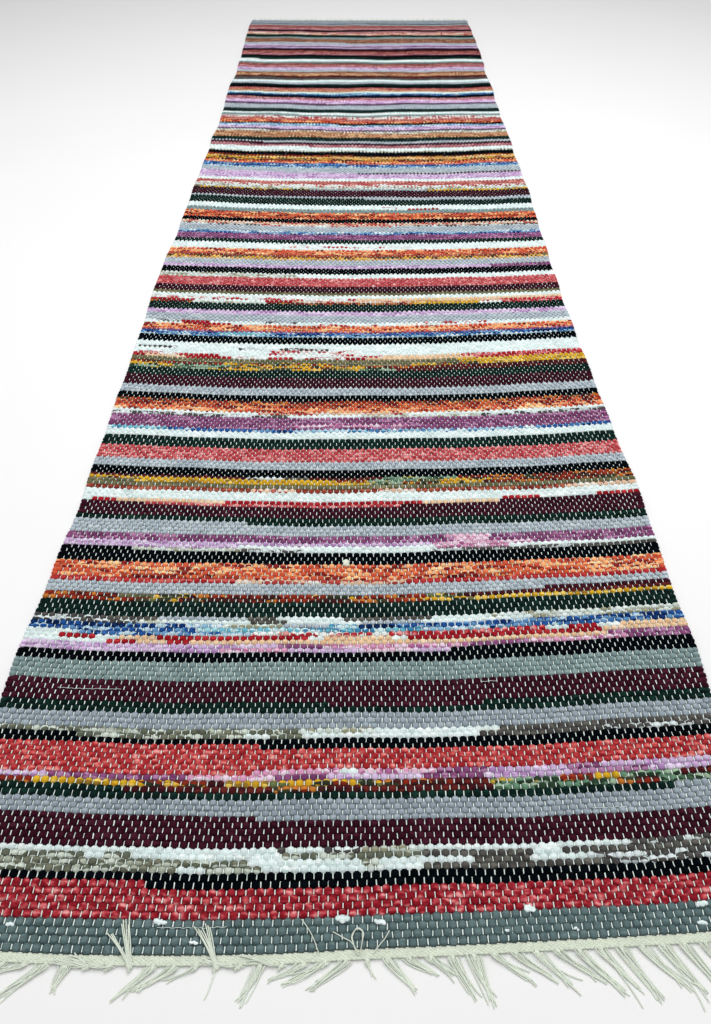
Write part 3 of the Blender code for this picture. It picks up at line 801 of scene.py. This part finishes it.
def beadShape():  # one bump of rag between two warp floats, 1 across, 1 deep and 1 high
    mesh = bpy.data.meshes.new("beadShape")
    corner, shoulder, top = (0.46, 0.27), (0.23, 0.64), (0.22, 0.26)
    signs = [(1, 1), (-1, 1), (-1, -1), (1, -1)]
    points = []
    for number, (side, end) in enumerate(signs):
        pair = [(side * x, end * y, 0.0) for x, y in (corner, shoulder)]
        points += pair if number % 2 == 0 else reversed(pair)
    points += [(side * top[0], end * top[1], 1.0) for side, end in signs]
    faces = [(8, 9, 10, 11)]
    for number in range(4):
        first, crown = number * 2, number + 8
        faces.append((first, first + 1, crown))
        faces.append((first + 1, (first + 2) % 8, (number + 1) % 4 + 8, crown))
    mesh.from_pydata(points, [], faces)
    mesh.shade_smooth()
    # 1 on the rim and 0 on the crown; the rag finish paints shade into the creases by it
    putAttribute(mesh, "paintedCreaseShade", "FLOAT", [1.0] * 8 + [0.0] * 4)
    return addObject("beadShape", mesh)


def floatShape():  # one warp float, a low ridge
    mesh = bpy.data.meshes.new("floatShape")
    foot, ridge = 0.36, 0.7
    points = [(-0.5, -foot, 0), (0.5, -foot, 0), (0.5, foot, 0), (-0.5, foot, 0)]
    points += [(0, -0.5, ridge), (0, 0.5, ridge)]
    faces = [(0, 4, 5, 3), (4, 1, 2, 5)]
    mesh.from_pydata(points, [], faces)
    mesh.shade_smooth()
    return addObject("floatShape", mesh)


floatLook = {
    "wide": 1.12 * mm,
    "nearShare": 0.9,
    "farShare": 0.72,
    "low": 3.68 * mm,
    "high": 0.75 * mm,
    "fades": (0.15, 0.85),
    "acrossJitter": 0.15 * mm,
    "sizeJitter": 0.15,
    "turnJitter": 0.1,
}


def emptySpots():
    return {"centre": [], "turn": [], "size": [], "tint": [], "shift": []}


def addSpot(spots, centre, turn, size, tint, shift):
    spots["centre"].append(centre)
    spots["turn"].append(turn)
    spots["size"].append(size)
    spots["tint"].append(tint)
    spots["shift"].append(shift)


def weaveSpots(picks):
    beads = {name: emptySpots() for name in rags}
    floats = emptySpots()
    pairs = plan["warpPairs"]
    for pick in picks:
        width = pick["right"] - pick["left"]
        pitch = width / pairs
        odd = pick["offset"] > 0
        shares = (np.arange(1, pairs) if odd else np.arange(pairs) + 0.5) / pairs
        xs = pick["left"] + width * shares + dice.normal(0, beadLook["acrossJitter"], len(shares))
        ys = onField(pick["along"], xs) + dice.normal(0, beadLook["alongJitter"], len(shares))
        turns = np.arctan(slopeAt(pick["along"], xs))
        tops = np.clip(dice.normal(1.0, beadLook["topSpread"], len(shares)), *beadLook["topLimits"])
        tints = dice.random(len(shares))
        for share, x, y, turn, top, tint in zip(shares, xs, ys, turns, tops, tints):
            rag = ragAt(pick, share)
            size = (pitch, pick["depth"], (beadLook["topHeight"] - beadLook["rimHeight"]) * top)
            centre = (x, y, beadLook["rimHeight"])
            addSpot(beads[rag], centre, (0, 0, turn), size, tint, pick["shift"])
        shares = (np.arange(pairs) + 0.5 if odd else np.arange(1, pairs)) / pairs
        xs = pick["left"] + width * shares + dice.normal(0, floatLook["acrossJitter"], len(shares))
        ys = onField(pick["along"], xs)
        shareRange = (floatLook["nearShare"], floatLook["farShare"])
        showing = np.interp(pick["along"], floatLook["fades"], shareRange)
        for x, y in zip(xs, ys):
            size = (floatLook["wide"], pick["depth"] * showing, floatLook["high"])
            centre = (x, y, floatLook["low"])
            addSpot(floats, centre, (0, 0, 0), size, dice.random(), pick["shift"])
    return beads, floats


def groundSlab(picks, finish):
    columns, section = groundLook["columns"], groundLook["section"]
    topInset, topHeight = section[-1][0] * mm, section[-1][1] * mm
    edges = [0.0]
    for pick in picks:
        edges.append(pick["along"] + pick["depth"] / 2)
    bm = bmesh.new()
    layer = bm.loops.layers.float_color.new("shadedPickColour")
    rows = []
    for edge in edges:
        left, right = sidesAt(edge)
        left, right = left + groundLook["inset"], right - groundLook["inset"]
        flat = right - left - 2 * topInset
        between = [left + topInset + flat * column / columns for column in range(1, columns)]
        loop = [(left + inset * mm, height * mm) for inset, height in section]
        loop += [(x, topHeight) for x in between]
        loop += [(right - inset * mm, height * mm) for inset, height in reversed(section)]
        loop += [(x, 0.0) for x in reversed(between)]
        xs = np.array([x for x, _ in loop])
        ys = onField(edge, xs)
        rows.append([bm.verts.new((x, y, height)) for (x, height), y in zip(loop, ys)])
    count = len(rows[0])
    for pick, near, far in zip(picks, rows, rows[1:]):
        for k in range(count):
            after = (k + 1) % count
            face = bm.faces.new((near[k], near[after], far[after], far[k]))
            middle = (near[k].co.x + near[after].co.x) / 2
            rag = ragAt(pick, (middle - pick["left"]) / (pick["right"] - pick["left"]))
            # the stripe's colour, darkened as painted shade under the picks
            colour = linear(rags[rag]["colours"][0])[:3]
            for corner in face.loops:
                corner[layer] = [c * groundLook["shadedColourShare"] for c in colour] + [1.0]
    ends = [bm.faces.new(rows[0]), bm.faces.new(list(reversed(rows[-1])))]
    for face in ends:
        for corner in face.loops:
            corner[layer] = groundLook["endColour"]
    bmesh.ops.triangulate(bm, faces=ends)
    bmesh.ops.recalc_face_normals(bm, faces=bm.faces)
    mesh = meshFrom(bm, "ragGround")
    mesh.materials.append(finish)
    return addObject("ragGround", mesh)


turnLook = {
    "inset": 3.3 * mm,
    "wide": 8.4 * mm,
    "depthShare": 1.22,
    "high": 5.7 * mm,
    "middle": 3.0 * mm,
    "sidewaysJitter": (-0.4, 0.5),  # mm
    "pull": 0.36 * mm,
    "lean": 0.22,
    "flatTop": 0.46,
    "sizeJitter": 0.06,
    "turnJitter": 0.08,
}


def turnShape():  # where a rag turns back round the outermost warp
    bm = bmesh.new()
    bmesh.ops.create_uvsphere(bm, u_segments=7, v_segments=4, radius=0.5)
    for vert in bm.verts:
        vert.co.z = max(-turnLook["flatTop"], min(turnLook["flatTop"], vert.co.z))
    mesh = meshFrom(bm, "turnShape")
    # the turns get no painted crease shade
    putAttribute(mesh, "paintedCreaseShade", "FLOAT", [0.0] * len(mesh.vertices))
    return addObject("turnShape", mesh)


def selvedgeSpots(picks):
    spots = {name: emptySpots() for name in rags}
    for number, pick in enumerate(picks):
        for side, first in ((-1, 0), (1, 1)):
            share = 0.0 if side < 0 else 1.0
            paired = 1 if number % 2 == first else -1
            edge = (pick["left"] if side < 0 else pick["right"]) - side * turnLook["inset"]
            x = edge + side * dice.uniform(*turnLook["sidewaysJitter"]) * mm
            y = float(onField(pick["along"], edge)) + paired * turnLook["pull"]
            size = (turnLook["wide"], pick["depth"] * turnLook["depthShare"], turnLook["high"])
            centre = (x, y, turnLook["middle"])
            turn = (0, 0, paired * turnLook["lean"] * side)
            addSpot(spots[ragAt(pick, share)], centre, turn, size, dice.random(), pick["shift"])
    return spots


picks = layPicks()
print("picks", len(picks))
ragFinishes = {name: ragMaterial(name + "Rag", rag) for name, rag in rags.items()}
warpFinish = cottonMaterial("warpCotton", cottonLook["warp"], cottonLook["grain"])
headingFinish = cottonMaterial("headingCotton", cottonLook["heading"], cottonLook["headingGrain"])
fringeFinish = cottonMaterial("fringeCotton", cottonLook["fringe"], cottonLook["grain"])

bead, warpFloat, turnBack = beadShape(), floatShape(), turnShape()
beads, floats = weaveSpots(picks)
turns = selvedgeSpots(picks)
clothPieces = []
for name in rags:
    if beads[name]["centre"]:
        piece = layShapes(name + "Picks", bead, beads[name], {
            "Across": beadLook["across"], "Depth": beadLook["depth"],
            "Size jitter": beadLook["sizeJitter"], "Turn jitter": beadLook["turnJitter"], "Seed": 5,
        }, ragFinishes[name])
        clothPieces.append(finishPiece(piece, "rag_cloth"))
    if turns[name]["centre"]:
        piece = layShapes(name + "Turns", turnBack, turns[name], {
            "Size jitter": turnLook["sizeJitter"], "Turn jitter": turnLook["turnJitter"], "Seed": 8,
        }, ragFinishes[name])
        clothPieces.append(finishPiece(piece, "rag_cloth"))
print("rag picks laid")
floatPiece = layShapes("warpFloats", warpFloat, floats, {
    "Size jitter": floatLook["sizeJitter"], "Turn jitter": floatLook["turnJitter"], "Seed": 2,
}, warpFinish)
clothPieces.append(finishPiece(floatPiece, "warp_cotton"))
ground = finishPiece(groundSlab(picks, groundMaterial()), "rag_cloth", "rag_field")
print("ground and warp floats laid")


headingLook = {
    "rows": 6,
    "columns": 176,
    "base": 2.3 * mm,
    "top": 3.7 * mm,
    "start": 0.2 * mm,
    "across": 1.06,
    "depth": 1.2,
    "height": 0.75,
    "sizeJitter": 0.12,
    "turnJitter": 0.1,
    "slabColumns": 60,
    "slabInset": 0.4 * mm,
}

# the heading slab's outline in mm, outwards from the field and up
headingSection = [
    (0.6, 0.2), (0.2, 1.0), (0.3, 2.0), (0.9, 2.4), (6.8, 2.4), (7.4, 2.0), (7.6, 1.0), (7.1, 0.2),
]


def headingSlab(name, end):
    along = 0.0 if end < 0 else plan["length"]
    left, right = readRows(outline, along)
    bm = bmesh.new()
    rows = []
    columns, inset = headingLook["slabColumns"], headingLook["slabInset"]
    count = len(headingSection)
    for column in range(columns + 1):
        x = -left + inset + (left + right - 2 * inset) * column / columns
        y = float(onField(along, x))
        loop = [(x, y + end * depth * mm, height * mm) for depth, height in headingSection]
        rows.append([bm.verts.new(place) for place in loop])
    for near, far in zip(rows, rows[1:]):
        for k in range(count):
            after = (k + 1) % count
            bm.faces.new((near[k], near[after], far[after], far[k]))
    bm.faces.new(rows[0])
    bm.faces.new(rows[-1])
    bmesh.ops.recalc_face_normals(bm, faces=bm.faces)
    mesh = meshFrom(bm, name, smooth=False)
    mesh.materials.append(headingFinish)
    return addObject(name, mesh)


def headingSpots(end):
    spots = emptySpots()
    along = 0.0 if end < 0 else plan["length"]
    left, right = readRows(outline, along)
    rows, columns = headingLook["rows"], headingLook["columns"]
    depth = plan["headingDepth"] / rows
    pitch = (left + right) / columns
    for row in range(rows):
        shares = (np.arange(columns) + (0.5 if row % 2 else 1.0)) / columns
        for share in shares[: columns - (row % 2 == 0)]:
            x = -left + (left + right) * share
            y = float(onField(along, x)) + end * (depth * (row + 0.5) + headingLook["start"])
            size = (pitch, depth, headingLook["top"] - headingLook["base"])
            addSpot(spots, (x, y, headingLook["base"]), (0, 0, 0), size, dice.random(), (0, 0, 0))
    return spots


headingPieces = {}
for label, end in (("near", -1), ("far", 1)):
    slab = finishPiece(headingSlab(label + "HeadingBase", end), "warp_cotton", "heading_" + label)
    piece = layShapes(label + "HeadingPicks", bead, headingSpots(end), {
        "Across": headingLook["across"], "Depth": headingLook["depth"], "Height": headingLook["height"],
        "Size jitter": headingLook["sizeJitter"], "Turn jitter": headingLook["turnJitter"], "Seed": 6,
    }, headingFinish)
    headingPieces[label] = (slab, finishPiece(piece, "warp_cotton"))
print("headings laid")


fringeLook = {
    "yarns": 8,
    "yarnRadius": 0.54 * mm,
    "sides": 5,
    "rootJitter": 0.5 * mm,
    "rootDepth": (0.6, 1.6),  # mm, as the two below
    "layers": (0, 1.6),
    "rise": (1.2, 3.0),
    "steps": 9,
    "stretch": (0.8, 1.05),
    "riseCurve": 1.7,
    "rootSpacing": 1.5 * mm,
    "turnedSpacing": 0.9 * mm,
    "tipScatter": 1.7 * mm,
    "bulge": 1.8 * mm,
    "strays": 0.2,
    "strayReach": 7 * mm,
    "leave": 3.5 * mm,
    "leaveShares": (0.15, 0.12),
    "lateShare": 0.62,
    "knotOut": 2.1 * mm,
    "knotBase": 2.3 * mm,
    "knotTurn": 0.2,
    "knotLean": 0.6,
    "knotWide": 4.6 * mm,
    "knotDeep": 4.4 * mm,
    "knotHigh": 3.0 * mm,
    "farReach": 33 * mm,
    "farSway": 4 * mm,
    "farSwayStep": 1.9,
}

# a near tassel's number from the left, then its tip's place in mm from its knot, sideways and outwards,
# and its number of yarns
nearTassels = [
    (0, -26, 22, 8), (1, -29, 18, 8), (2, -24, 22, 7), (3, -28, 17, 8), (4, -26, 14, 8),
    (5, -30, 6, 8), (6, -33, 24, 8), (7, -6, 18, 7), (8, -27, -5, 8), (9, -34, -6, 8),
    (11, -28, 23, 8), (12, -33, 17, 8), (13, -24, 9, 4), (14, -8, 24, 1), (15, -31, -5, 8),
    (16, -15, 29, 8), (17, -33, -8, 8), (18, -29, 12, 8), (19, -34, 15, 8), (20, -30, 20, 8),
    (21, 6, 12, 2), (22, 24, 23, 8), (23, 24, 11, 8), (24, 20, 12, 8), (25, 17, 30, 8),
    (26, 14, 36, 9), (27, 31, 20, 7), (28, 31, 18, 8), (29, 30, 27, 8), (30, 34, 21, 8),
    (31, 32, 30, 8), (32, 30, 33, 8), (33, 24, 35, 8), (34, 33, 32, 8), (35, 27, 36, 8),
    (36, 24, 34, 8), (37, 22, 34, 8), (38, 18, 35, 8), (39, 23, 33, 8), (40, 17, 34, 8),
    (41, 20, 33, 8),
]

# bundles that lie turned back over the rug: their tassel's number, the tip's place in mm, sideways and
# inwards, and the number of yarns
turnedTassels = [(10, -21, 25, 3), (10, -10, 35, 5), (14, -19, 30, 4), (14, -12, 33, 3)]
turnedLook = {
    "steps": 10,
    "stretch": (0.85, 1.06),
    "rootShare": 0.5,
    "opening": (0.5, 1.1),
    "wave": 0.6 * mm,
    "waveTurns": 6,
    "sideCurve": 1.2,
}

# how high a turned yarn lies over knot, heading and picks, each in mm
turnedHeights = [(0.0, 3.4), (4.0, 4.6), (8.0, 5.4), (11.5, 7.0), (60.0, 7.2)]


# the knot's shape before it is sized: its ring is 1 wide and high and a little less deep
knotLook = {
    "around": 10,
    "tube": 6,
    "ringRadius": 0.33,
    "tubeRadius": 0.17,
    "tubeDepth": 0.30,
    "tilt": 0.16,
    "coreRadii": (0.27, 0.36),
    "coreDepth": 1.5,
    "sizeJitter": 0.1,
    "turnJitter": 0.12,
}


def knotShape():  # the warp ends tied over themselves: a ring of yarn round a narrow core
    bm = bmesh.new()
    around, tube = knotLook["around"], knotLook["tube"]
    rings = []
    for a in range(around):
        angle = 2 * math.pi * a / around
        ring = []
        for t in range(tube):
            turn = 2 * math.pi * t / tube
            reach = knotLook["ringRadius"] + knotLook["tubeRadius"] * math.cos(turn)
            ring.append(bm.verts.new((
                reach * math.cos(angle),
                knotLook["tubeDepth"] * math.sin(turn) + knotLook["tilt"] * math.cos(angle),
                reach * math.sin(angle),
            )))
        rings.append(ring)
    for a in range(around):
        for t in range(tube):
            one, two = rings[a], rings[(a + 1) % around]
            bm.faces.new((one[t], one[(t + 1) % tube], two[(t + 1) % tube], two[t]))
    narrow, broad = knotLook["coreRadii"]
    core = bmesh.ops.create_cone(
        bm, cap_ends=True, segments=8, radius1=narrow, radius2=broad, depth=knotLook["coreDepth"],
    )
    for vert in core["verts"]:
        x, y, z = vert.co
        vert.co = (x, z, y)
    bmesh.ops.recalc_face_normals(bm, faces=bm.faces)
    return addObject("knotShape", meshFrom(bm, "knotShape"))


def tasselRoots(end):
    along = 0.0 if end < 0 else plan["length"]
    left, right = readRows(outline, along)
    pitch = (left + right) / plan["tassels"]
    roots = []
    for number in range(plan["tassels"]):
        x = -left + pitch * (number + 0.5)
        y = float(onField(along, x)) + end * (plan["headingDepth"] + fringeLook["knotOut"])
        roots.append((x, y))
    return roots


def lyingYarn(root, tip, end, layer):  # it leaves the heading, bends and lies down towards the tip
    (x, y), (tipX, tipY) = root, tip
    reach = math.hypot(tipX - x, tipY - y)
    acrossX, acrossY = -(tipY - y) / reach, (tipX - x) / reach
    stretch = dice.uniform(*fringeLook["stretch"])
    scatter = dice.normal(0, fringeLook["tipScatter"])
    if dice.random() < fringeLook["strays"]:
        scatter += dice.choice([-1, 1]) * fringeLook["strayReach"] * dice.uniform(0.4, 1)
    bulge = dice.normal(0, fringeLook["bulge"])
    leaveAcross, leaveAlong = fringeLook["leaveShares"]
    leaveX = x + leaveAcross * (tipX - x)
    leaveY = y + end * fringeLook["leave"] + leaveAlong * (tipY - y)
    lateX = x + fringeLook["lateShare"] * (tipX - x) + acrossX * bulge
    lateY = y + fringeLook["lateShare"] * (tipY - y) + acrossY * bulge
    tipX, tipY = tipX + acrossX * scatter, tipY + acrossY * scatter
    rise = dice.uniform(*fringeLook["rise"]) * mm
    path = []
    steps = fringeLook["steps"]
    for step in range(steps + 1):
        share = step / steps * stretch
        left = 1 - share
        weights = (left ** 3, 3 * left ** 2 * share, 3 * left * share ** 2, share ** 3)
        placeX = sum(weight * spot for weight, spot in zip(weights, (x, leaveX, lateX, tipX)))
        placeY = sum(weight * spot for weight, spot in zip(weights, (y, leaveY, lateY, tipY)))
        lift = rise * max(left, 0.0) ** fringeLook["riseCurve"]
        height = fringeLook["yarnRadius"] + lift + layer * (1 - 0.5 * share) * mm
        inwards = (y - placeY) * end
        if inwards > 0:
            height = max(height, readRows(turnedHeights, inwards / mm)[0] * mm)
        path.append((placeX, placeY, height))
    return path


def turnedYarn(root, sideways, inwards, offset):  # a yarn of a tassel that lies turned back over the rug
    x, y = root
    wave = dice.uniform(0, 6.3)
    stretch = dice.uniform(*turnedLook["stretch"])
    path = []
    steps = turnedLook["steps"]
    narrow, spread = turnedLook["opening"]
    for step in range(steps + 1):
        share = step / steps * stretch
        gone = inwards * share
        height = readRows(turnedHeights, gone / mm)[0] * mm
        sway = turnedLook["wave"] * math.sin(wave + turnedLook["waveTurns"] * share) * share
        side = offset * (narrow + spread * share ** 2) + sway
        path.append((x + sideways * share ** turnedLook["sideCurve"] + side, y + gone, height))
    return path


def fringeYarns(end):
    paths = []
    roots = tasselRoots(end)
    if end < 0:
        tassels = [(number, across * mm, out * mm, yarns) for number, across, out, yarns in nearTassels]
    else:
        sways = [math.sin(number * fringeLook["farSwayStep"]) for number in range(plan["tassels"])]
        rest = (fringeLook["farReach"], fringeLook["yarns"])
        tassels = [(number, fringeLook["farSway"] * sway, *rest) for number, sway in enumerate(sways)]
    for number, sideways, outwards, yarns in tassels:
        x, y = roots[number]
        for yarn in range(yarns):
            offset = (yarn - (yarns - 1) / 2) * fringeLook["rootSpacing"]
            rootX = x + offset + dice.normal(0, fringeLook["rootJitter"])
            root = (rootX, y - end * dice.uniform(*fringeLook["rootDepth"]) * mm)
            tip = (x + sideways, y + end * outwards)
            paths.append(lyingYarn(root, tip, end, dice.uniform(*fringeLook["layers"])))
    if end < 0:
        for number, sideways, inwards, yarns in turnedTassels:
            x, y = roots[number]
            for yarn in range(yarns):
                offset = (yarn - (yarns - 1) / 2) * fringeLook["turnedSpacing"]
                root = (x + offset * turnedLook["rootShare"], y)
                paths.append(turnedYarn(root, sideways * mm, inwards * mm, offset))
    return paths


def knotSpots(end):
    spots = emptySpots()
    lean = {}
    if end < 0:
        for number, sideways, outwards, _ in nearTassels:
            lean[number] = fringeLook["knotLean"] * math.atan2(sideways, max(outwards, 4))
    for number, (x, y) in enumerate(tasselRoots(end)):
        size = (fringeLook["knotWide"], fringeLook["knotDeep"], fringeLook["knotHigh"])
        turn = (0, 0, dice.normal(0, fringeLook["knotTurn"]) + lean.get(number, 0.0))
        addSpot(spots, (x, y, fringeLook["knotBase"]), turn, size, dice.random(), (0, 0, 0))
    return spots


knot = knotShape()
fringePieces = {}
for label, end in (("near", -1), ("far", 1)):
    knots = layShapes(label + "Knots", knot, knotSpots(end), {
        "Size jitter": knotLook["sizeJitter"], "Turn jitter": knotLook["turnJitter"], "Seed": 4,
    }, fringeFinish)
    finishPiece(knots, "warp_cotton", "fringe_" + label)
    radius, sides = fringeLook["yarnRadius"], fringeLook["sides"]
    yarns = layYarns(label + "Yarns", fringeYarns(end), radius, sides, fringeFinish)
    fringePieces[label] = (knots, finishPiece(yarns, "warp_cotton"))
print("fringe laid")


# tufts of white rag caught in the weave: across the rug in m, along it in mm, and their width and
# depth in mm
tufts = [
    (-0.168, 23, 12.0, 5.0), (-0.012, 23, 13.0, 8.0), (0.150, 25, 10.0, 8.0), (-0.296, 19, 8.0, 4.0),
    (0.300, 22, 12.0, 5.5), (0.020, 19, 11.0, 4.5), (-0.137, 9, 8.0, 3.0), (0.128, 9, 4.0, 3.0),
    (0.187, 8, 5.0, 2.6), (0.296, 7, 9.0, 4.0),
]

# a cream yarn knotted into the weave: across the rug in m, along it in mm, and its width, depth and
# height in mm
weaveKnot = (-0.014, 419.5, 10.5, 6.5, 3.6)

# thin white ends along the picks: from and to across the rug in m, and along it in mm
thinEnds = [
    (-0.320, -0.250, 243), (0.133, 0.152, 250), (0.274, 0.298, 257),
    (0.223, 0.257, 110), (-0.170, -0.110, 19),
]

# warp yarns that lie loose on the rug: where each starts in m across, then its places in mm from there,
# sideways and up the rug
looseYarns = [
    (-0.031, [(0, -3), (-7, 12), (-16, 24)]),
    (0.000, [(0, -3), (-4, 4), (-11, 8), (-20, 13)]),
    (0.002, [(0, -5), (-5, 4), (-6, 9), (-2, 14), (3, 12), (3, 6), (1, -5)]),
    (0.001, [(0, -5), (-4, 5), (-4, 10), (0, 15), (5, 11), (4, 5), (2, -5)]),
    (0.022, [(-8, -4), (-2, 2), (2, 6), (6, 12)]),
]
looseLook = {
    "tuftLow": 5.2 * mm,
    "tuftHigh": 2.6 * mm,
    "lumpSpacing": 0.26,
    "lumpWide": 0.55,
    "lumpDeep": (0.7, 1.0),
    "lumpHigh": (0.8, 1.0),
    "tuftJitter": 0.4 * mm,
    "tuftTurn": 0.3,
    "knotLow": 7.2 * mm,
    "knotTurn": 0.5,
    "endRadius": 0.22 * mm,
    "endSides": 4,
    "endSpacing": 2.2 * mm,
    "endJitter": 0.3 * mm,
    "endRest": 6.35 * mm,
    "endWave": 0.25 * mm,
    "endWaves": 1500,
    "yarnRadius": 0.45 * mm,
    "yarnSides": 5,
    "start": 4.6 * mm,
    "rest": 7.0 * mm,
}


def tuftSpots():
    spots = emptySpots()
    for x, along, wide, deep in tufts:
        place = placeOf(along * mm)
        y = float(onField(place, x))
        for lump in range(3):
            aside = (lump - 1) * wide * looseLook["lumpSpacing"] * mm
            lumpDeep = deep * dice.uniform(*looseLook["lumpDeep"]) * mm
            lumpHigh = looseLook["tuftHigh"] * dice.uniform(*looseLook["lumpHigh"])
            size = (wide * looseLook["lumpWide"] * mm, lumpDeep, lumpHigh)
            lumpY = y + dice.normal(0, looseLook["tuftJitter"])
            centre = (x + aside, lumpY, looseLook["tuftLow"] + looseLook["tuftHigh"] / 2)
            turn = (0, 0, dice.normal(0, looseLook["tuftTurn"]))
            addSpot(spots, centre, turn, size, 0.9, (x * 50, 0, 0))
    return spots


def weaveKnotSpots():
    spots = emptySpots()
    x, along, wide, deep, high = weaveKnot
    y = float(onField(placeOf(along * mm), x))
    size = (wide * mm, deep * mm, high * mm)
    turn = (0, 0, looseLook["knotTurn"])
    addSpot(spots, (x, y, looseLook["knotLow"]), turn, size, 1.0, (0, 0, 0))
    return spots


def smoothPath(points, steps):  # eased through the points by a Catmull-Rom curve
    ends = [points[0]] + points + [points[-1]]
    path = []
    for a, b, c, d in zip(ends, ends[1:], ends[2:], ends[3:]):
        for step in range(steps):
            t = step / steps
            place = []
            for p, q, r, s in zip(a, b, c, d):
                square, cube = 2 * p - 5 * q + 4 * r - s, 3 * q - p - 3 * r + s
                place.append(0.5 * (2 * q + (r - p) * t + square * t ** 2 + cube * t ** 3))
            path.append(tuple(place))
    return path + [points[-1]]


def loosePaths():
    paths = []
    for start, steps in looseYarns:
        points = []
        for sideways, up in steps:
            x = start + sideways * mm
            y = float(onField(0.0, x)) + up * mm
            height = looseLook["rest"] if up > 0 else looseLook["start"]
            points.append((x, y, height))
        paths.append(smoothPath(points, 5))
    return paths


def thinPaths():
    paths = []
    for left, right, along in thinEnds:
        xs = np.arange(left, right, looseLook["endSpacing"])
        ys = onField(placeOf(along * mm), xs) + dice.normal(0, looseLook["endJitter"], len(xs))
        heights = looseLook["endRest"] + looseLook["endWave"] * np.sin(xs * looseLook["endWaves"])
        paths.append(list(zip(xs.tolist(), ys.tolist(), heights.tolist())))
    return paths


tuftPiece = layShapes("whiteTufts", turnBack, tuftSpots(), {
    "Size jitter": 0.08, "Turn jitter": 0.15, "Seed": 9,
}, ragFinishes["white"])
clothPieces.append(finishPiece(tuftPiece, "rag_cloth"))
weaveKnotPiece = layShapes("weaveKnot", knot, weaveKnotSpots(), {
    "Size jitter": 0.0, "Turn jitter": 0.1, "Seed": 7,
}, headingFinish)
clothPieces.append(finishPiece(weaveKnotPiece, "warp_cotton"))
radius, sides = looseLook["endRadius"], looseLook["endSides"]
thinPiece = layYarns("whiteEnds", thinPaths(), radius, sides, warpFinish)
clothPieces.append(finishPiece(thinPiece, "warp_cotton"))
radius, sides = looseLook["yarnRadius"], looseLook["yarnSides"]
loosePiece = layYarns("looseYarns", loosePaths(), radius, sides, fringeFinish)
clothPieces.append(finishPiece(loosePiece, "warp_cotton"))
for template in (bead, warpFloat, turnBack, knot):
    bpy.data.objects.remove(template)
print("tufts and loose yarns laid")

endPieces = [piece for label in ("near", "far") for piece in headingPieces[label] + fringePieces[label]]
faceCounts = {}
for piece in clothPieces + endPieces + [ground]:
    faceCounts[piece.name] = sum(len(face.vertices) - 2 for face in piece.data.polygons)
most = sorted(faceCounts.items(), key=lambda row: -row[1])[:5]
print("triangles", sum(faceCounts.values()), "most", most)

stageLook = {
    "floorHalf": 6.0,
    "floorDrop": 0.2 * mm,
    "cloudScale": 3.0,
    "cloudSpread": 0.03,
    "floorShade": 0.88,
    "floorRoughness": 0.8,
    "roomLight": 0.45,
    "aim": (0.0, 0.1, 0.0),
}

# each lamp: its name, its place, width and depth in m, and its power in W
lamps = [
    ("mainLight", (0.3, -0.1, 2.4), 2.6, 2.6, 56.0),
    ("fillLight", (-1.6, -1.2, 2.2), 2.0, 2.0, 7.0),
]


def makeFloor():
    mesh = bpy.data.meshes.new("floor")
    half, low = stageLook["floorHalf"], -stageLook["floorDrop"]
    corners = [(-half, -half, low), (half, -half, low), (half, half, low), (-half, half, low)]
    mesh.from_pydata(corners, [], [(0, 1, 2, 3)])
    material = bpy.data.materials.new("paleFloor")
    nodes, links, shader = newTree(material)
    place = nodes.new("ShaderNodeTexCoord").outputs["Object"]
    cloud = noiseAt(nodes, links, place, stageLook["cloudScale"])
    light = lineOf(nodes, links, cloud, stageLook["cloudSpread"], stageLook["floorShade"])
    links.new(light, shader.inputs["Base Color"])
    shader.inputs["Roughness"].default_value = stageLook["floorRoughness"]
    mesh.materials.append(material)
    floor = addObject("floor", mesh)


def makeLights():
    world = bpy.data.worlds.new("softRoom")
    world.use_nodes = True
    background = world.node_tree.nodes["Background"]
    background.inputs["Color"].default_value = (1.0, 1.0, 1.0, 1.0)
    background.inputs["Strength"].default_value = stageLook["roomLight"]
    scene.world = world
    for name, place, width, height, power in lamps:
        light = bpy.data.lights.new(name, "AREA")
        light.shape = "RECTANGLE"
        light.size, light.size_y, light.energy = width, height, power
        lamp = bpy.data.objects.new(name, light)
        lamp.location = place
        aim = np.array(stageLook["aim"]) - np.array(place)
        lamp.rotation_euler = Vector(aim).to_track_quat("-Z", "Y").to_euler()
        scene.collection.objects.link(lamp)


def makeCamera():
    data = bpy.data.cameras.new("camera")
    data.sensor_width = view["sensor"]
    data.lens = view["lens"]
    data.clip_start, data.clip_end = view["clip"]
    camera = bpy.data.objects.new("camera", data)
    camera.location = (0.0, -plan["length"] / 2 - view["before"], view["height"])
    camera.rotation_euler = (math.radians(90 - view["tilt"]), 0.0, math.radians(view["roll"]))
    scene.collection.objects.link(camera)
    scene.camera = camera


makeFloor()
makeLights()
makeCamera()
scene.view_settings.view_transform = "Standard"
scene.view_settings.look = "None"
print("stage set")
